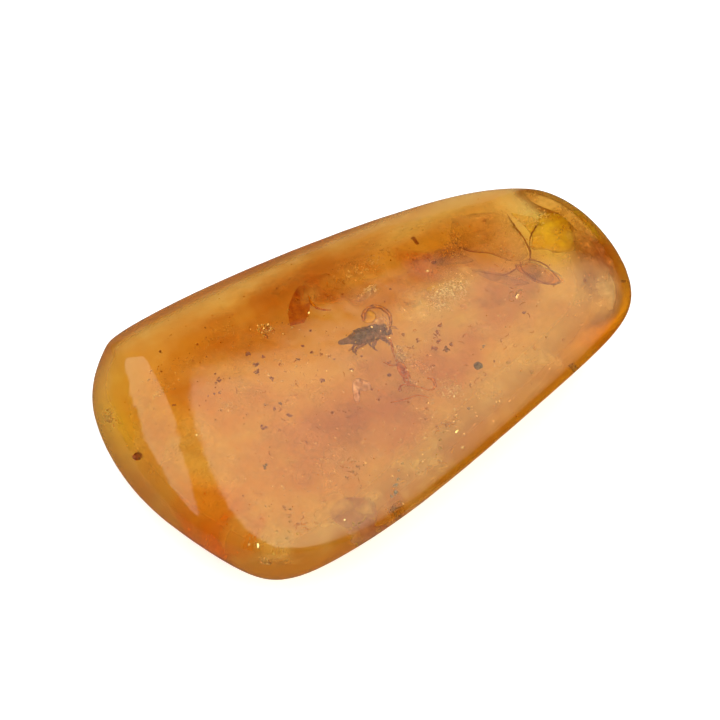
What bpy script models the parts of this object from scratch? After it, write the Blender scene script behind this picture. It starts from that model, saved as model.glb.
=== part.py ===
"""Insect in amber: a hand-polished nugget with a small insect and plant debris sealed inside.

The nugget is one piece of amber. It is parted along a level plane so that each sealed piece
lies in a pocket of its own. Metres, +Z up, +X along the nugget, the wide end at -X.
The origin is under the middle of the nugget, on the surface that it lies on.
"""
import bmesh
import bpy
import numpy as np
from math import cos, pi, radians, sin
from mathutils import Matrix, Vector

MM = 0.001

# The nugget. Its form is a pebble worked from many faces that round into each other.
# Each face: azimuth and rise of its outward normal (degrees), its distance from the
# nugget's heart (mm), and its crispness (a low number rounds over broadly).
FACES = {
    "top":           (0, 90, 3.5, 48),
    "top_front":     (-79, 86, 3.65, 48),
    "top_left":      (203, 87, 3.9, 38),
    "top_right":     (0, 87, 4.1, 54),
    "back_shoulder": (99, 86, 3.7, 32),
    "back_slope":    (85, 64.5, 5.7, 60),
    "back_roll":     (82, 59, 7.8, 18),
    "back_edge":     (72, 45, 12.2, 2.5),
    "left_facet":    (166, 72, 7.9, 24),
    "left_slope":    (164, 43, 14.3, 44),
    "left_edge":     (190, 31, 20.9, 11),
    "left_corner":   (-159, 30, 21.1, 5.5),
    "front_facet":   (-152, 44, 19.0, 21),
    "front_corner":  (-108, 21, 18.7, 11),
    "front_edge":    (-81, 36, 14.3, 15),
    "right_front":   (-68, 17, 19.8, 2.5),
    "right_edge":    (3, 34, 24.0, 9),
    "right_back":    (71, 24, 19.8, 2.5),
    "back_left":     (126, 12, 20.6, 4),
    "under":         (0, -90, 4.0, 7),
    "under_front":   (-79, -48, 8.7, 10),
    "under_corner":  (-112, -46, 18.4, 10),
    "under_left_2":  (-164, -52, 14.2, 10),
    "under_left":    (163, -46, 17.8, 9),
    "under_right":   (-11, -43, 16.3, 9),
    "under_back":    (86, -41, 10.9, 9),
}
HEART_HEIGHT = 3.93 * MM        # heart above the rubbed flat that the nugget lies on
SPREAD = (20.0, 12.0, 4.5)      # rough half sizes, which spread the mesh evenly (mm)
AROUND = 84                     # mesh columns round the nugget
RINGS = 30                      # mesh rings from the underside's middle to the top's
PARTING_GAP = 0.3 * MM          # between the two halves
SMOOTH_BELOW = radians(40)      # edges flatter than this are shaded smooth

# The insect, about 4.5 mm long. Its own frame: +X to the head, +Z to its back.
INSECT_AT = (1.75, 0.72, 0.05)  # under the front of its abdomen, from the heart (mm)
INSECT_YAW = -14.0              # degrees
INSECT_ROLL = -50.0             # it lies half on its side
INSECT_POCKET = (2.85, 1.75, 1.75)
TRUNK = (                       # radii, middle and turn of its three parts (mm, degrees)
    ((1.5, 0.5, 0.48), (-0.9, 0, -0.05), (0, 5, 0)),    # abdomen
    ((0.8, 0.62, 0.64), (0.72, 0, 0.03), (0, 0, 0)),    # thorax
    ((0.4, 0.43, 0.39), (1.62, 0, -0.12), (0, 0, 0)),   # head
)
# One of each pair, on the +Y side (mm). The other is its mirror image.
WING = ((1.45, 0.4, 0.06), (-0.65, 0.28, 0.46), (14, 4, 7))
EYE = ((0.18, 0.14, 0.2), (1.74, 0.31, -0.05))
FEELER = ((1.85, 0.13, 0.0), (2.1, 0.27, 0.1), (2.32, 0.3, 0.05), (2.48, 0.4, -0.1))
FEELER_RADII = (0.06, 0.05, 0.05, 0.03)
LEGS = (                        # hip, knee and foot of the front, middle and hind leg
    ((0.95, 0.27, -0.4), (1.3, 0.72, -0.75), (1.35, 0.5, -1.2)),
    ((0.55, 0.3, -0.42), (0.05, 0.78, -0.85), (0.25, 0.62, -1.36)),
    ((0.1, 0.25, -0.28), (-1.25, 0.52, -0.68), (-1.4, 0.36, -1.25)),
)
LEG_RADII = (0.14, 0.11, 0.06)

# The debris, from the heart (mm).
FLAKE_AT = (-0.85, 5.95, 0.1)
FLAKE_OUTLINE = ((1.03, 1.39), (0.1, 1.16), (-0.6, 0.72), (-1.19, 0.07), (-1.69, -0.92), (-0.63, -1.3),
                 (0.15, -0.87), (0.85, -0.14), (1.06, 0.56), (1.56, 1.11))
FLAKE_THICKNESS = 0.16
FLAKE_TILT = (10.0, -8.0, 0.0)
FLAKE_POCKET = (2.35, 1.5, 0.95)
FLAKE_POCKET_YAW = 34.0
SHRED_ROUTE = ((2.35, -2.15, 0.1), (2.2, -2.75, 0.0), (2.3, -3.3, -0.1), (2.0, -3.9, 0.05),
               (1.75, -4.5, 0.12), (1.6, -5.0, 0.0))
SHRED_RADII = (0.07, 0.13, 0.1, 0.2, 0.26, 0.08)
SHRED_FLATNESS = 0.45           # thickness over width
SHRED_POCKET = (0.7, 1.95, 0.6)
SHRED_YAW = -15.0
GRAIN_AT = (7.2, -6.4, 0.0)
GRAIN_RADIUS = 0.36
GRAIN_LUMPS = (0.12, 0.08)      # heights of its broad and fine lumps, over its radius
SEED_AT = (-18.4, 2.15, -0.4)
SEED_SIZE = (0.36, 0.54, 0.28)
SEED_YAW = 57.0
SEED_TAPER = (0.3, 0.12)        # narrowing to both ends, and further to one end
CLEARANCE = 0.22                # pocket wall round the grain and the seed


def clear_scene():
    """Remove whatever objects the file already holds."""
    for old in list(bpy.data.objects):
        bpy.data.objects.remove(old, do_unlink=True)


def material(name, colour, roughness, transmission=0.0):
    """A Principled material; clear amber also transmits."""
    made = bpy.data.materials.new(name)
    made.use_nodes = True
    shader = made.node_tree.nodes["Principled BSDF"]
    shader.inputs["Base Color"].default_value = (*colour, 1.0)
    shader.inputs["Roughness"].default_value = roughness
    shader.inputs["Metallic"].default_value = 0.0
    shader.inputs["Transmission Weight"].default_value = transmission
    shader.inputs["IOR"].default_value = 1.54
    made.diffuse_color = (*colour, 1.0)
    return made


def add_object(name, bm, parent=None, finish=None, smooth=True):
    """Turn a bmesh into a named object, in millimetres scaled to metres."""
    bmesh.ops.recalc_face_normals(bm, faces=bm.faces)
    mesh = bpy.data.meshes.new(name)
    bm.to_mesh(mesh)
    bm.free()
    if smooth:
        mesh.shade_smooth()
        mesh.set_sharp_from_angle(angle=SMOOTH_BELOW)
    if finish:
        mesh.materials.append(finish)
    made = bpy.data.objects.new(name, mesh)
    bpy.context.scene.collection.objects.link(made)
    made.parent = parent
    return made


def face_normal(azimuth, rise):
    """Unit normal of a face."""
    a, r = radians(azimuth), radians(rise)
    return np.array((cos(r) * cos(a), cos(r) * sin(a), sin(r)))


def reach(ways):
    """Distance (mm) from the heart to the nugget's surface along each unit way.

    A point is inside where the sum over the faces of (depth towards the face / the face's
    distance) ** crispness is under one. The reach is found by halving.
    """
    normals = np.array([face_normal(az, rise) for az, rise, _, _ in FACES.values()])
    distances = np.array([face[2] for face in FACES.values()])
    crispness = np.array([face[3] for face in FACES.values()])
    slopes = np.maximum(0.0, ways @ normals.T / distances)
    high = 1.0 / slopes.max(axis=1)
    low = np.zeros_like(high)
    for _ in range(40):
        middle = (low + high) / 2
        outside = ((middle[:, None] * slopes) ** crispness).sum(axis=1) > 1.0
        high = np.where(outside, middle, high)
        low = np.where(outside, low, middle)
    return low


def nugget():
    """The whole nugget as one closed bmesh, heart at the origin, in metres."""
    heights = [pi * (ring / RINGS - 0.5) for ring in range(1, RINGS)]
    turns = [2 * pi * column / AROUND for column in range(AROUND)]
    ways = [(cos(h) * cos(t), cos(h) * sin(t), sin(h)) for h in heights for t in turns]
    ways += [(0.0, 0.0, -1.0), (0.0, 0.0, 1.0)]
    ways = np.array(ways) * np.array(SPREAD)
    ways /= np.linalg.norm(ways, axis=1)[:, None]
    points = ways * reach(ways)[:, None] * MM
    bm = bmesh.new()
    verts = [bm.verts.new(point) for point in points]
    south, north = verts[-2:]
    rings = [verts[i * AROUND:(i + 1) * AROUND] for i in range(len(heights))]
    for lower, upper in zip(rings, rings[1:]):
        for i in range(AROUND):
            j = (i + 1) % AROUND
            bm.faces.new((lower[i], lower[j], upper[j], upper[i]))
    for i in range(AROUND):
        j = (i + 1) % AROUND
        bm.faces.new((south, rings[0][j], rings[0][i]))
        bm.faces.new((north, rings[-1][i], rings[-1][j]))
    return bm


def cut_level(bm, height, keep_above):
    """Cut a closed bmesh off level at a height and close the cut with a flat face."""
    side = -1.0 if keep_above else 1.0
    geometry = bm.verts[:] + bm.edges[:] + bm.faces[:]
    bmesh.ops.bisect_plane(bm, geom=geometry, dist=1e-7, plane_co=(0, 0, height),
                           plane_no=(0, 0, side), clear_outer=True)
    rim = [edge for edge in bm.edges if edge.is_boundary]
    bmesh.ops.holes_fill(bm, edges=rim, sides=0)


def ellipsoid(radii, segments=14, rings=8):
    """A closed ellipsoid about the origin, radii in mm."""
    bm = bmesh.new()
    bmesh.ops.create_uvsphere(bm, u_segments=segments, v_segments=rings, radius=1.0)
    bmesh.ops.transform(bm, matrix=Matrix.Diagonal((*[r * MM for r in radii], 1.0)), verts=bm.verts)
    return bm


def tube(route, radii, sides=8, flat=1.0):
    """A closed tube along a route (mm) with a radius at each point; flat squashes it."""
    points = [Vector(p) * MM for p in route]
    bm = bmesh.new()
    rings = []
    for i, point in enumerate(points):
        ahead = points[min(i + 1, len(points) - 1)] - points[max(i - 1, 0)]
        across = ahead.cross(Vector((0.0, 0.0, 1.0))).normalized()
        up = across.cross(ahead).normalized()
        turns = [2 * pi * k / sides for k in range(sides)]
        spokes = [across * cos(t) + up * sin(t) * flat for t in turns]
        rings.append([bm.verts.new(point + spoke * radii[i] * MM) for spoke in spokes])
    for first, second in zip(rings, rings[1:]):
        for k in range(sides):
            m = (k + 1) % sides
            bm.faces.new((first[k], first[m], second[m], second[k]))
    bm.faces.new(reversed(rings[0]))
    bm.faces.new(rings[-1])
    return bm


def place(bm, at=(0, 0, 0), turn=(0, 0, 0)):
    """Turn a bmesh by X, Y and Z degrees and move it (mm)."""
    spin = Matrix.Identity(4)
    for angle, axis in zip(turn, "XYZ"):
        spin = Matrix.Rotation(radians(angle), 4, axis) @ spin
    bmesh.ops.transform(bm, matrix=Matrix.Translation(Vector(at) * MM) @ spin, verts=bm.verts)
    return bm


def apply_booleans(target, tools, operation):
    """Join tools to a target, or cut them from it, then bake the result and drop the tools."""
    for tool in tools:
        tool.hide_render = True
        tool.display_type = "WIRE"
        step = target.modifiers.new(tool.name, "BOOLEAN")
        step.operation = operation
        step.solver = "EXACT"
        step.object = tool
    bpy.context.view_layer.update()
    graph = bpy.context.evaluated_depsgraph_get()
    baked = bpy.data.meshes.new_from_object(target.evaluated_get(graph))
    target.modifiers.clear()
    target.data = baked
    for tool in tools:
        bpy.data.objects.remove(tool, do_unlink=True)


def mirrored(point, side):
    """A point of the +Y side as it lies on the given side."""
    x, y, z = point
    return x, y * side, z


def insect_parts():
    """The insect's body, wings, legs and feelers, each closed, in the insect's own frame."""
    parts = [place(ellipsoid(radii, 16, 10), middle, turn) for radii, middle, turn in TRUNK]
    for side in (-1, 1):
        radii, middle, (roll, dip, sweep) = WING
        wing = ellipsoid(radii, 16, 6)
        parts.append(place(wing, mirrored(middle, side), (roll * side, dip, sweep * side)))
        radii, middle = EYE
        parts.append(place(ellipsoid(radii, 10, 6), mirrored(middle, side)))
        parts.append(tube([mirrored(p, side) for p in FEELER], FEELER_RADII, sides=6))
        for leg in LEGS:
            parts.append(tube([mirrored(p, side) for p in leg], LEG_RADII, sides=6))
    return parts


def fuse(name, parts, parent, finish):
    """Join overlapping closed parts into one closed object."""
    body = add_object(name, parts[0], parent, finish)
    helpers = [add_object(f"{name}_{i}", part, parent) for i, part in enumerate(parts[1:])]
    apply_booleans(body, helpers, "UNION")
    body.data.shade_smooth()
    body.data.set_sharp_from_angle(angle=SMOOTH_BELOW)
    return body


def flake():
    """A thin broken flake: its outline given some thickness."""
    bm = bmesh.new()
    foot = [bm.verts.new((x * MM, y * MM, -FLAKE_THICKNESS * MM / 2)) for x, y in FLAKE_OUTLINE]
    bottom = bm.faces.new(reversed(foot))
    raised = bmesh.ops.extrude_face_region(bm, geom=[bottom], use_keep_orig=True)
    tops = [item for item in raised["geom"] if isinstance(item, bmesh.types.BMVert)]
    bmesh.ops.translate(bm, vec=(0, 0, FLAKE_THICKNESS * MM), verts=tops)
    return place(bm, FLAKE_AT, FLAKE_TILT)


def grain():
    """A lumpy grain of dirt."""
    broad, fine = GRAIN_LUMPS
    bm = bmesh.new()
    bmesh.ops.create_icosphere(bm, subdivisions=2, radius=GRAIN_RADIUS * MM)
    for vert in bm.verts:
        x, y, z = vert.co / (GRAIN_RADIUS * MM)
        vert.co *= 1.0 + broad * sin(5 * x + 2) * cos(4 * y) + fine * sin(6 * z + 3 * x)
    return place(bm, GRAIN_AT)


def seed():
    """A pointed seed."""
    both_ends, one_end = SEED_TAPER
    bm = ellipsoid(SEED_SIZE, 14, 10)
    for vert in bm.verts:
        along = vert.co.y / (SEED_SIZE[1] * MM)
        vert.co.x *= 1.0 - both_ends * along * along - one_end * along
    return place(bm, SEED_AT, (0, 0, SEED_YAW))


def pockets():
    """The hollows that hold the sealed pieces, each a closed bmesh about the heart's level."""
    shred_middle = [sum(p[k] for p in SHRED_ROUTE) / len(SHRED_ROUTE) for k in range(3)]
    around_grain = [GRAIN_RADIUS * (1.0 + sum(GRAIN_LUMPS)) + CLEARANCE] * 3
    around_seed = [size + CLEARANCE for size in SEED_SIZE]
    return [
        place(ellipsoid(INSECT_POCKET, 20, 10), INSECT_AT, (0, 0, INSECT_YAW)),
        place(ellipsoid(FLAKE_POCKET, 20, 10), FLAKE_AT, (0, 0, FLAKE_POCKET_YAW)),
        place(ellipsoid(SHRED_POCKET, 20, 10), shred_middle, (0, 0, SHRED_YAW)),
        place(ellipsoid(around_grain), GRAIN_AT),
        place(ellipsoid(around_seed), SEED_AT, (0, 0, SEED_YAW)),
    ]


def amber_half(name, parent, finish, upper):
    """One half of the nugget, cut at the parting and hollowed by the pockets."""
    bm = nugget()
    cut_level(bm, -HEART_HEIGHT, keep_above=True)
    side = 1 if upper else -1
    cut_level(bm, side * PARTING_GAP / 2, keep_above=upper)
    half = add_object(name, bm, parent, finish)
    cutters = [add_object(f"pocket_{i}", pocket, parent) for i, pocket in enumerate(pockets())]
    apply_booleans(half, cutters, "DIFFERENCE")
    half.data.shade_smooth()
    half.data.set_sharp_from_angle(angle=SMOOTH_BELOW)
    return half


def heart_frame():
    """An empty at the nugget's heart, placed so that the nugget's middle is over the origin."""
    bm = nugget()
    spots = np.array([vert.co[:] for vert in bm.verts])
    bm.free()
    middle = (spots.min(axis=0) + spots.max(axis=0)) / 2
    frame = bpy.data.objects.new("heart", None)
    bpy.context.scene.collection.objects.link(frame)
    frame.location = (-middle[0], -middle[1], HEART_HEIGHT)
    return frame


def main():
    clear_scene()
    heart = heart_frame()
    clear_amber = material("clear_amber", (0.85, 0.36, 0.05), 0.05, transmission=1.0)
    dark_body = material("insect_body", (0.055, 0.035, 0.026), 0.45)
    red_bark = material("red_bark", (0.22, 0.045, 0.012), 0.6)
    dry_stem = material("dry_stem", (0.3, 0.07, 0.02), 0.6)
    dirt = material("dirt", (0.06, 0.04, 0.035), 0.8)
    husk = material("husk", (0.05, 0.018, 0.008), 0.5)
    amber_half("amber_lower", heart, clear_amber, upper=False)
    amber_half("amber_upper", heart, clear_amber, upper=True)
    pose = (INSECT_ROLL, 0, INSECT_YAW)
    limbs = [place(part, INSECT_AT, pose) for part in insect_parts()]
    fuse("insect", limbs, heart, dark_body)
    add_object("bark_flake", flake(), heart, red_bark, smooth=False)
    add_object("plant_shred", tube(SHRED_ROUTE, SHRED_RADII, flat=SHRED_FLATNESS), heart, dry_stem)
    add_object("dirt_grain", grain(), heart, dirt)
    add_object("seed", seed(), heart, husk)


main()
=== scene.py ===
"""Looks for the insect in amber: a hand-polished nugget of clear amber and all that it seals in.

Every place is given in millimetres from the nugget's heart, as in the part's source.
"""
import random
from math import cos, pi, radians, sin

import bmesh
import bpy
import numpy as np
from mathutils import Matrix, Vector, noise


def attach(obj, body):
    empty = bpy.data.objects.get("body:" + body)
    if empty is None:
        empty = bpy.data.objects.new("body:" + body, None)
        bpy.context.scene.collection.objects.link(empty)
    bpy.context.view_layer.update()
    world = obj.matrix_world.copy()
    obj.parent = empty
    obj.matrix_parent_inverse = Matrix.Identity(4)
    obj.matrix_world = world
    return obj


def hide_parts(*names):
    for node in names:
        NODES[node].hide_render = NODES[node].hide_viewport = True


MM = 0.001

# ------------------------------------------------------------------ the nugget's form
# azimuth and rise of each worked face, its distance from the heart (mm) and its crispness
FACES = {
    "top":           (0, 90, 3.5, 48),
    "top_front":     (-79, 86, 3.65, 48),
    "top_left":      (203, 87, 3.9, 38),
    "top_right":     (0, 87, 4.1, 54),
    "back_shoulder": (99, 86, 3.7, 32),
    "back_slope":    (85, 64.5, 5.7, 60),
    "back_roll":     (82, 59, 7.8, 18),
    "back_edge":     (72, 45, 12.2, 2.5),
    "left_facet":    (166, 72, 7.9, 24),
    "left_slope":    (164, 43, 14.3, 44),
    "left_edge":     (190, 31, 20.9, 11),
    "left_corner":   (-159, 30, 21.1, 5.5),
    "front_facet":   (-152, 44, 19.0, 21),
    "front_corner":  (-108, 21, 18.7, 11),
    "front_edge":    (-81, 36, 14.3, 15),
    "right_front":   (-68, 17, 19.8, 2.5),
    "right_edge":    (3, 34, 24.0, 9),
    "right_back":    (71, 24, 19.8, 2.5),
    "back_left":     (126, 12, 20.6, 4),
    "under":         (0, -90, 4.0, 7),
    "under_front":   (-79, -48, 8.7, 10),
    "under_corner":  (-112, -46, 18.4, 10),
    "under_left_2":  (-164, -52, 14.2, 10),
    "under_left":    (163, -46, 17.8, 9),
    "under_right":   (-11, -43, 16.3, 9),
    "under_back":    (86, -41, 10.9, 9),
}
HEART_HEIGHT = 3.93
SPREAD = (20.0, 12.0, 4.5)
CAD_MESH = (84, 30)             # columns and rings of the part's own mesh
FINE_MESH = (420, 190)

# the insect, in its own frame and from the heart, as in the part's source
INSECT_AT = (1.75, 0.72, 0.05)
INSECT_YAW = -14.0
INSECT_ROLL = -50.0
LEG_ROUTES = (                  # hip, knee, ankle and toe of the front, middle and hind leg (mm)
    ((0.95, 0.27, -0.4), (1.3, 0.72, -0.75), (1.38, 0.6, -1.05), (1.3, 0.42, -1.25)),
    ((0.55, 0.3, -0.42), (0.05, 0.78, -0.85), (0.1, 0.74, -1.15), (0.28, 0.6, -1.38)),
    ((0.1, 0.25, -0.28), (-1.25, 0.52, -0.68), (-1.45, 0.42, -1.02), (-1.38, 0.34, -1.28)),
)

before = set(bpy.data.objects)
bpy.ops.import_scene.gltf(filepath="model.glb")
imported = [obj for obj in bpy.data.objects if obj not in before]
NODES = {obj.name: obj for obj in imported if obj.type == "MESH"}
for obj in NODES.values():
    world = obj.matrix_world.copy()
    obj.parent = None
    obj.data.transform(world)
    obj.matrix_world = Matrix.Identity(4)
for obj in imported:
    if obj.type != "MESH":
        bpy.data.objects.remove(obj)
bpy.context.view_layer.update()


def face_normal(azimuth, rise):
    a, r = radians(azimuth), radians(rise)
    return np.array((cos(r) * cos(a), cos(r) * sin(a), sin(r)))


NORMALS = np.array([face_normal(az, rise) for az, rise, _, _ in FACES.values()])
DISTANCES = np.array([face[2] for face in FACES.values()])
CRISPNESS = np.array([face[3] for face in FACES.values()])


def reach(ways):
    """Distance (mm) from the heart to the surface along each unit way."""
    slopes = np.maximum(0.0, ways @ NORMALS.T / DISTANCES)
    high = 1.0 / slopes.max(axis=1)
    low = high * 0.5
    for _ in range(26):
        middle = (low + high) / 2
        outside = ((middle[:, None] * slopes) ** CRISPNESS).sum(axis=1) > 1.0
        high = np.where(outside, middle, high)
        low = np.where(outside, low, middle)
    return low


def depth(point):
    """How deep a point (mm) lies: 0 at the heart, 1 at the surface."""
    return float((np.maximum(0.0, NORMALS @ np.array(point) / DISTANCES) ** CRISPNESS).sum())


def nugget_points(columns, rings):
    """Points (mm) of the nugget's mesh, ring by ring from below, then the two poles."""
    heights = pi * (np.arange(1, rings) / rings - 0.5)
    turns = 2 * pi * np.arange(columns) / columns
    h, t = (grid.ravel() for grid in np.meshgrid(heights, turns, indexing="ij"))
    ways = np.stack((np.cos(h) * np.cos(t), np.cos(h) * np.sin(t), np.sin(h)), axis=1)
    ways = np.vstack((ways, ((0, 0, -1), (0, 0, 1)))) * np.array(SPREAD)
    ways /= np.linalg.norm(ways, axis=1)[:, None]
    return ways * reach(ways)[:, None]


rough = nugget_points(*CAD_MESH)
middle = (rough.min(axis=0) + rough.max(axis=0)) / 2
HEART = Vector((-middle[0], -middle[1], HEART_HEIGHT))


def to_world(points):
    """Millimetres from the heart to metres in the row frame."""
    return (np.asarray(points, float) + np.array(HEART)) * MM


# ------------------------------------------------------------------ node helpers
def new_material(name):
    made = bpy.data.materials.new(name)
    made.use_nodes = True
    tree = made.node_tree
    return made, tree, tree.nodes["Principled BSDF"]


def node(tree, kind, **values):
    """A shader node; values set its properties, or its inputs by name."""
    made = tree.nodes.new(kind)
    for key, value in values.items():
        if hasattr(made, key):
            setattr(made, key, value)
        else:
            made.inputs[key.replace("_", " ")].default_value = value
    return made


def link(tree, source, target):
    tree.links.new(source, target)


def textured(tree, kind="ShaderNodeTexNoise", **values):
    """A texture in the object's own metres."""
    where = node(tree, "ShaderNodeTexCoord")
    made = node(tree, kind, **values)
    link(tree, where.outputs["Object"], made.inputs["Vector"])
    return made


def ramp(tree, source, *stops):
    """A colour ramp over a source; stops are (place, colour or grey)."""
    made = node(tree, "ShaderNodeValToRGB")
    elements = made.color_ramp.elements
    while len(elements) < len(stops):
        elements.new(0.5)
    for element, (place, tone) in zip(elements, stops):
        element.position = place
        element.color = (tone, tone, tone, 1.0) if isinstance(tone, float) else (*tone, 1.0)
    link(tree, source, made.inputs["Fac"])
    return made.outputs["Color"]


def mapped(tree, source, low, high, to_low, to_high):
    made = node(tree, "ShaderNodeMapRange")
    for key, value in zip(("From Min", "From Max", "To Min", "To Max"), (low, high, to_low, to_high)):
        made.inputs[key].default_value = value
    link(tree, source, made.inputs["Value"])
    return made.outputs["Result"]


def bump(tree, shader, source, strength, distance):
    made = node(tree, "ShaderNodeBump", Strength=strength, Distance=distance)
    link(tree, source, made.inputs["Height"])
    link(tree, made.outputs["Normal"], shader.inputs["Normal"])


# ------------------------------------------------------------------ materials
TINTS = {
    "cream": (1.0, 0.98, 0.54),
    "gold": (1.0, 0.82, 0.16),
    "rose": (0.76, 0.38, 0.24),
    "deep": (0.7, 0.3, 0.02),
    "ember": (0.96, 0.36, 0.01),
}
ZONES = (                       # tint, place from the heart (mm), half sizes (mm) and share
    ("deep", -6.0, 7.0, 7.0, 1.7, 0.8), ("deep", 2.0, 8.2, 5.5, 2.0, 0.8), ("deep", -11.5, 5.6, 3.2, 1.4, 0.6),
    ("deep", 11.8, 3.6, 3.4, 1.7, 0.9), ("deep", 7.6, 4.2, 3.0, 1.5, 0.7), ("ember", -18.2, -6.8, 2.2, 4.0, 0.9),
    ("deep", -13.6, 2.2, 1.1, 3.6, 0.5), ("rose", -4.9, -5.1, 4.6, 3.0, 0.7), ("rose", -0.4, -5.6, 2.6, 3.2, 0.9),
    ("rose", 12.9, -1.9, 3.4, 1.8, 0.8), ("rose", 5.6, -4.6, 2.8, 2.4, 0.9), ("rose", -9.6, -2.2, 2.0, 2.2, 0.5),
    ("deep", 16.2, -9.9, 2.4, 1.4, 0.9), ("cream", -1.7, -13.6, 5.0, 2.6, 0.95), ("cream", -12.5, -14.0, 4.2, 2.0, 0.9),
    ("cream", 7.9, -0.4, 2.8, 1.5, 0.9), ("cream", -15.6, -2.0, 1.9, 3.0, 0.6), ("cream", 6.6, -11.2, 6.0, 2.2, 0.6),
    ("cream", 11.6, -8.6, 4.5, 1.8, 0.3), ("cream", 20.6, -6.6, 2.4, 3.0, 0.5), ("cream", 21.4, 3.0, 3.4, 2.6, 0.9),
    ("rose", 21.2, -4.0, 1.4, 1.6, 0.8),
    ("gold", -17.2, 6.6, 2.2, 4.6, 0.9), ("gold", 19.6, 0.2, 2.2, 2.2, 1.0), ("cream", 12.5, 7.2, 5.0, 1.2, 0.3),
    ("cream", -16.6, -11.6, 3.2, 2.6, 0.9), ("cream", 22.8, 1.4, 1.9, 4.2, 1.0),
)


def amber_material():
    """Clear amber: plain transmission and absorption, with a hand-polished surface.

    Its body is paler, rosier or deeper in soft-edged zones.
    """
    made, tree, shader = new_material("clear_amber")
    shader.inputs["Transmission Weight"].default_value = 1.0
    shader.inputs["IOR"].default_value = 1.54
    shader.inputs["Specular Tint"].default_value = (1.0, 1.0, 1.0, 1.0)
    clouds = textured(tree, Scale=230.0, Detail=4.0, Roughness=0.6)
    tint = ramp(tree, clouds.outputs["Fac"], (0.3, (0.86, 0.51, 0.17)), (0.5, (0.91, 0.63, 0.25)),
                (0.68, (0.98, 0.8, 0.4)))
    wander = mapped(tree, clouds.outputs["Fac"], 0.25, 0.75, -0.45, 0.45)
    where = node(tree, "ShaderNodeTexCoord")
    for kind, x, y, wide, deep, share in ZONES:
        place = node(tree, "ShaderNodeMapping")
        link(tree, where.outputs["Object"], place.inputs["Vector"])
        centre = to_world((x, y, 0.0))
        place.inputs["Scale"].default_value = (1000.0 / wide, 1000.0 / deep, 0.0)
        place.inputs["Location"].default_value = (-centre[0] * 1000.0 / wide, -centre[1] * 1000.0 / deep, 0.0)
        away = node(tree, "ShaderNodeVectorMath", operation="LENGTH")
        link(tree, place.outputs[0], away.inputs[0])
        edge = node(tree, "ShaderNodeMath", operation="ADD")
        link(tree, away.outputs["Value"], edge.inputs[0])
        link(tree, wander, edge.inputs[1])
        mix = node(tree, "ShaderNodeMix", data_type="RGBA")
        link(tree, mapped(tree, edge.outputs[0], 0.45, 1.35, share, 0.0), mix.inputs["Factor"])
        link(tree, tint, mix.inputs[6])
        mix.inputs[7].default_value = (*TINTS[kind], 1.0)
        tint = mix.outputs[2]
    link(tree, tint, shader.inputs["Base Color"])
    wear = textured(tree, Scale=900.0, Detail=5.0, Roughness=0.6)
    polished = mapped(tree, wear.outputs["Fac"], 0.35, 0.7, 0.03, 0.09)
    split = node(tree, "ShaderNodeSeparateXYZ")
    link(tree, where.outputs["Object"], split.inputs[0])
    below = mapped(tree, split.outputs["Z"], 0.0012, 0.0034, 0.6, 0.0)
    both = node(tree, "ShaderNodeMath", operation="MAXIMUM")
    link(tree, polished, both.inputs[0])
    link(tree, below, both.inputs[1])
    link(tree, both.outputs[0], shader.inputs["Roughness"])
    polish = textured(tree, Scale=420.0, Detail=4.0, Roughness=0.5)
    bump(tree, shader, polish.outputs["Fac"], 0.25, 0.00004)
    takes = node(tree, "ShaderNodeVolumeAbsorption", Density=1.0)
    takes.inputs["Color"].default_value = (0.893, 0.73, 0.12, 1.0)
    takes.inputs["Density"].default_value = 190.0
    link(tree, takes.outputs["Volume"], tree.nodes["Material Output"].inputs["Volume"])
    return made


def speckled_material(name, dark, light, roughness, scale, height, specular=0.5):
    """A rough natural surface mottled between two colours."""
    made, tree, shader = new_material(name)
    grain = textured(tree, Scale=scale, Detail=6.0, Roughness=0.62)
    link(tree, ramp(tree, grain.outputs["Fac"], (0.32, dark), (0.68, light)), shader.inputs["Base Color"])
    link(tree, mapped(tree, grain.outputs["Fac"], 0.3, 0.7, roughness, roughness * 0.6),
         shader.inputs["Roughness"])
    shader.inputs["Specular IOR Level"].default_value = specular
    bump(tree, shader, grain.outputs["Fac"], 0.6, height)
    return made


# ------------------------------------------------------------------ mesh helpers
def mesh_object(name, verts, faces, finish, slot, smooth=True):
    """A mesh from points in mm about the heart, riding on the one body."""
    mesh = bpy.data.meshes.new(name)
    mesh.from_pydata([tuple(v) for v in to_world(verts)], [], faces)
    mesh.materials.append(finish)
    if smooth:
        mesh.shade_smooth()
    made = bpy.data.objects.new(name, mesh)
    bpy.context.scene.collection.objects.link(made)
    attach(made, "root")
    return made


def amber_mesh():
    """The whole nugget, finely, with the gentle waves of hand polishing."""
    columns, rings = FINE_MESH
    points = nugget_points(columns, rings)
    waves = [noise.fractal(Vector(p) * 0.33, 0.7, 2.0, 3) for p in points]
    away = points / np.linalg.norm(points, axis=1)[:, None]
    points += away * (np.array(waves) * 0.018)[:, None]
    above = points[:, 2] + HEART_HEIGHT
    points[:, 2] = (above + np.sqrt(above * above + 0.02)) / 2 - HEART_HEIGHT
    faces = []
    for ring in range(rings - 2):
        for i in range(columns):
            j = (i + 1) % columns
            a, b = ring * columns, (ring + 1) * columns
            faces.append((a + i, a + j, b + j, b + i))
    south, north, last = len(points) - 2, len(points) - 1, (rings - 2) * columns
    for i in range(columns):
        j = (i + 1) % columns
        faces.append((south, j, i))
        faces.append((north, last + i, last + j))
    return points, faces


# ------------------------------------------------------------------ forms, as (points in mm, faces)
def joined(*forms):
    """Several forms as one."""
    points, faces = [], []
    for some, around in forms:
        start = sum(len(p) for p in points)
        points.append(np.asarray(some, float))
        faces += [tuple(i + start for i in face) for face in around]
    return np.vstack(points), faces


def inside_out(form):
    points, faces = form
    return points, [tuple(reversed(face)) for face in faces]


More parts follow.
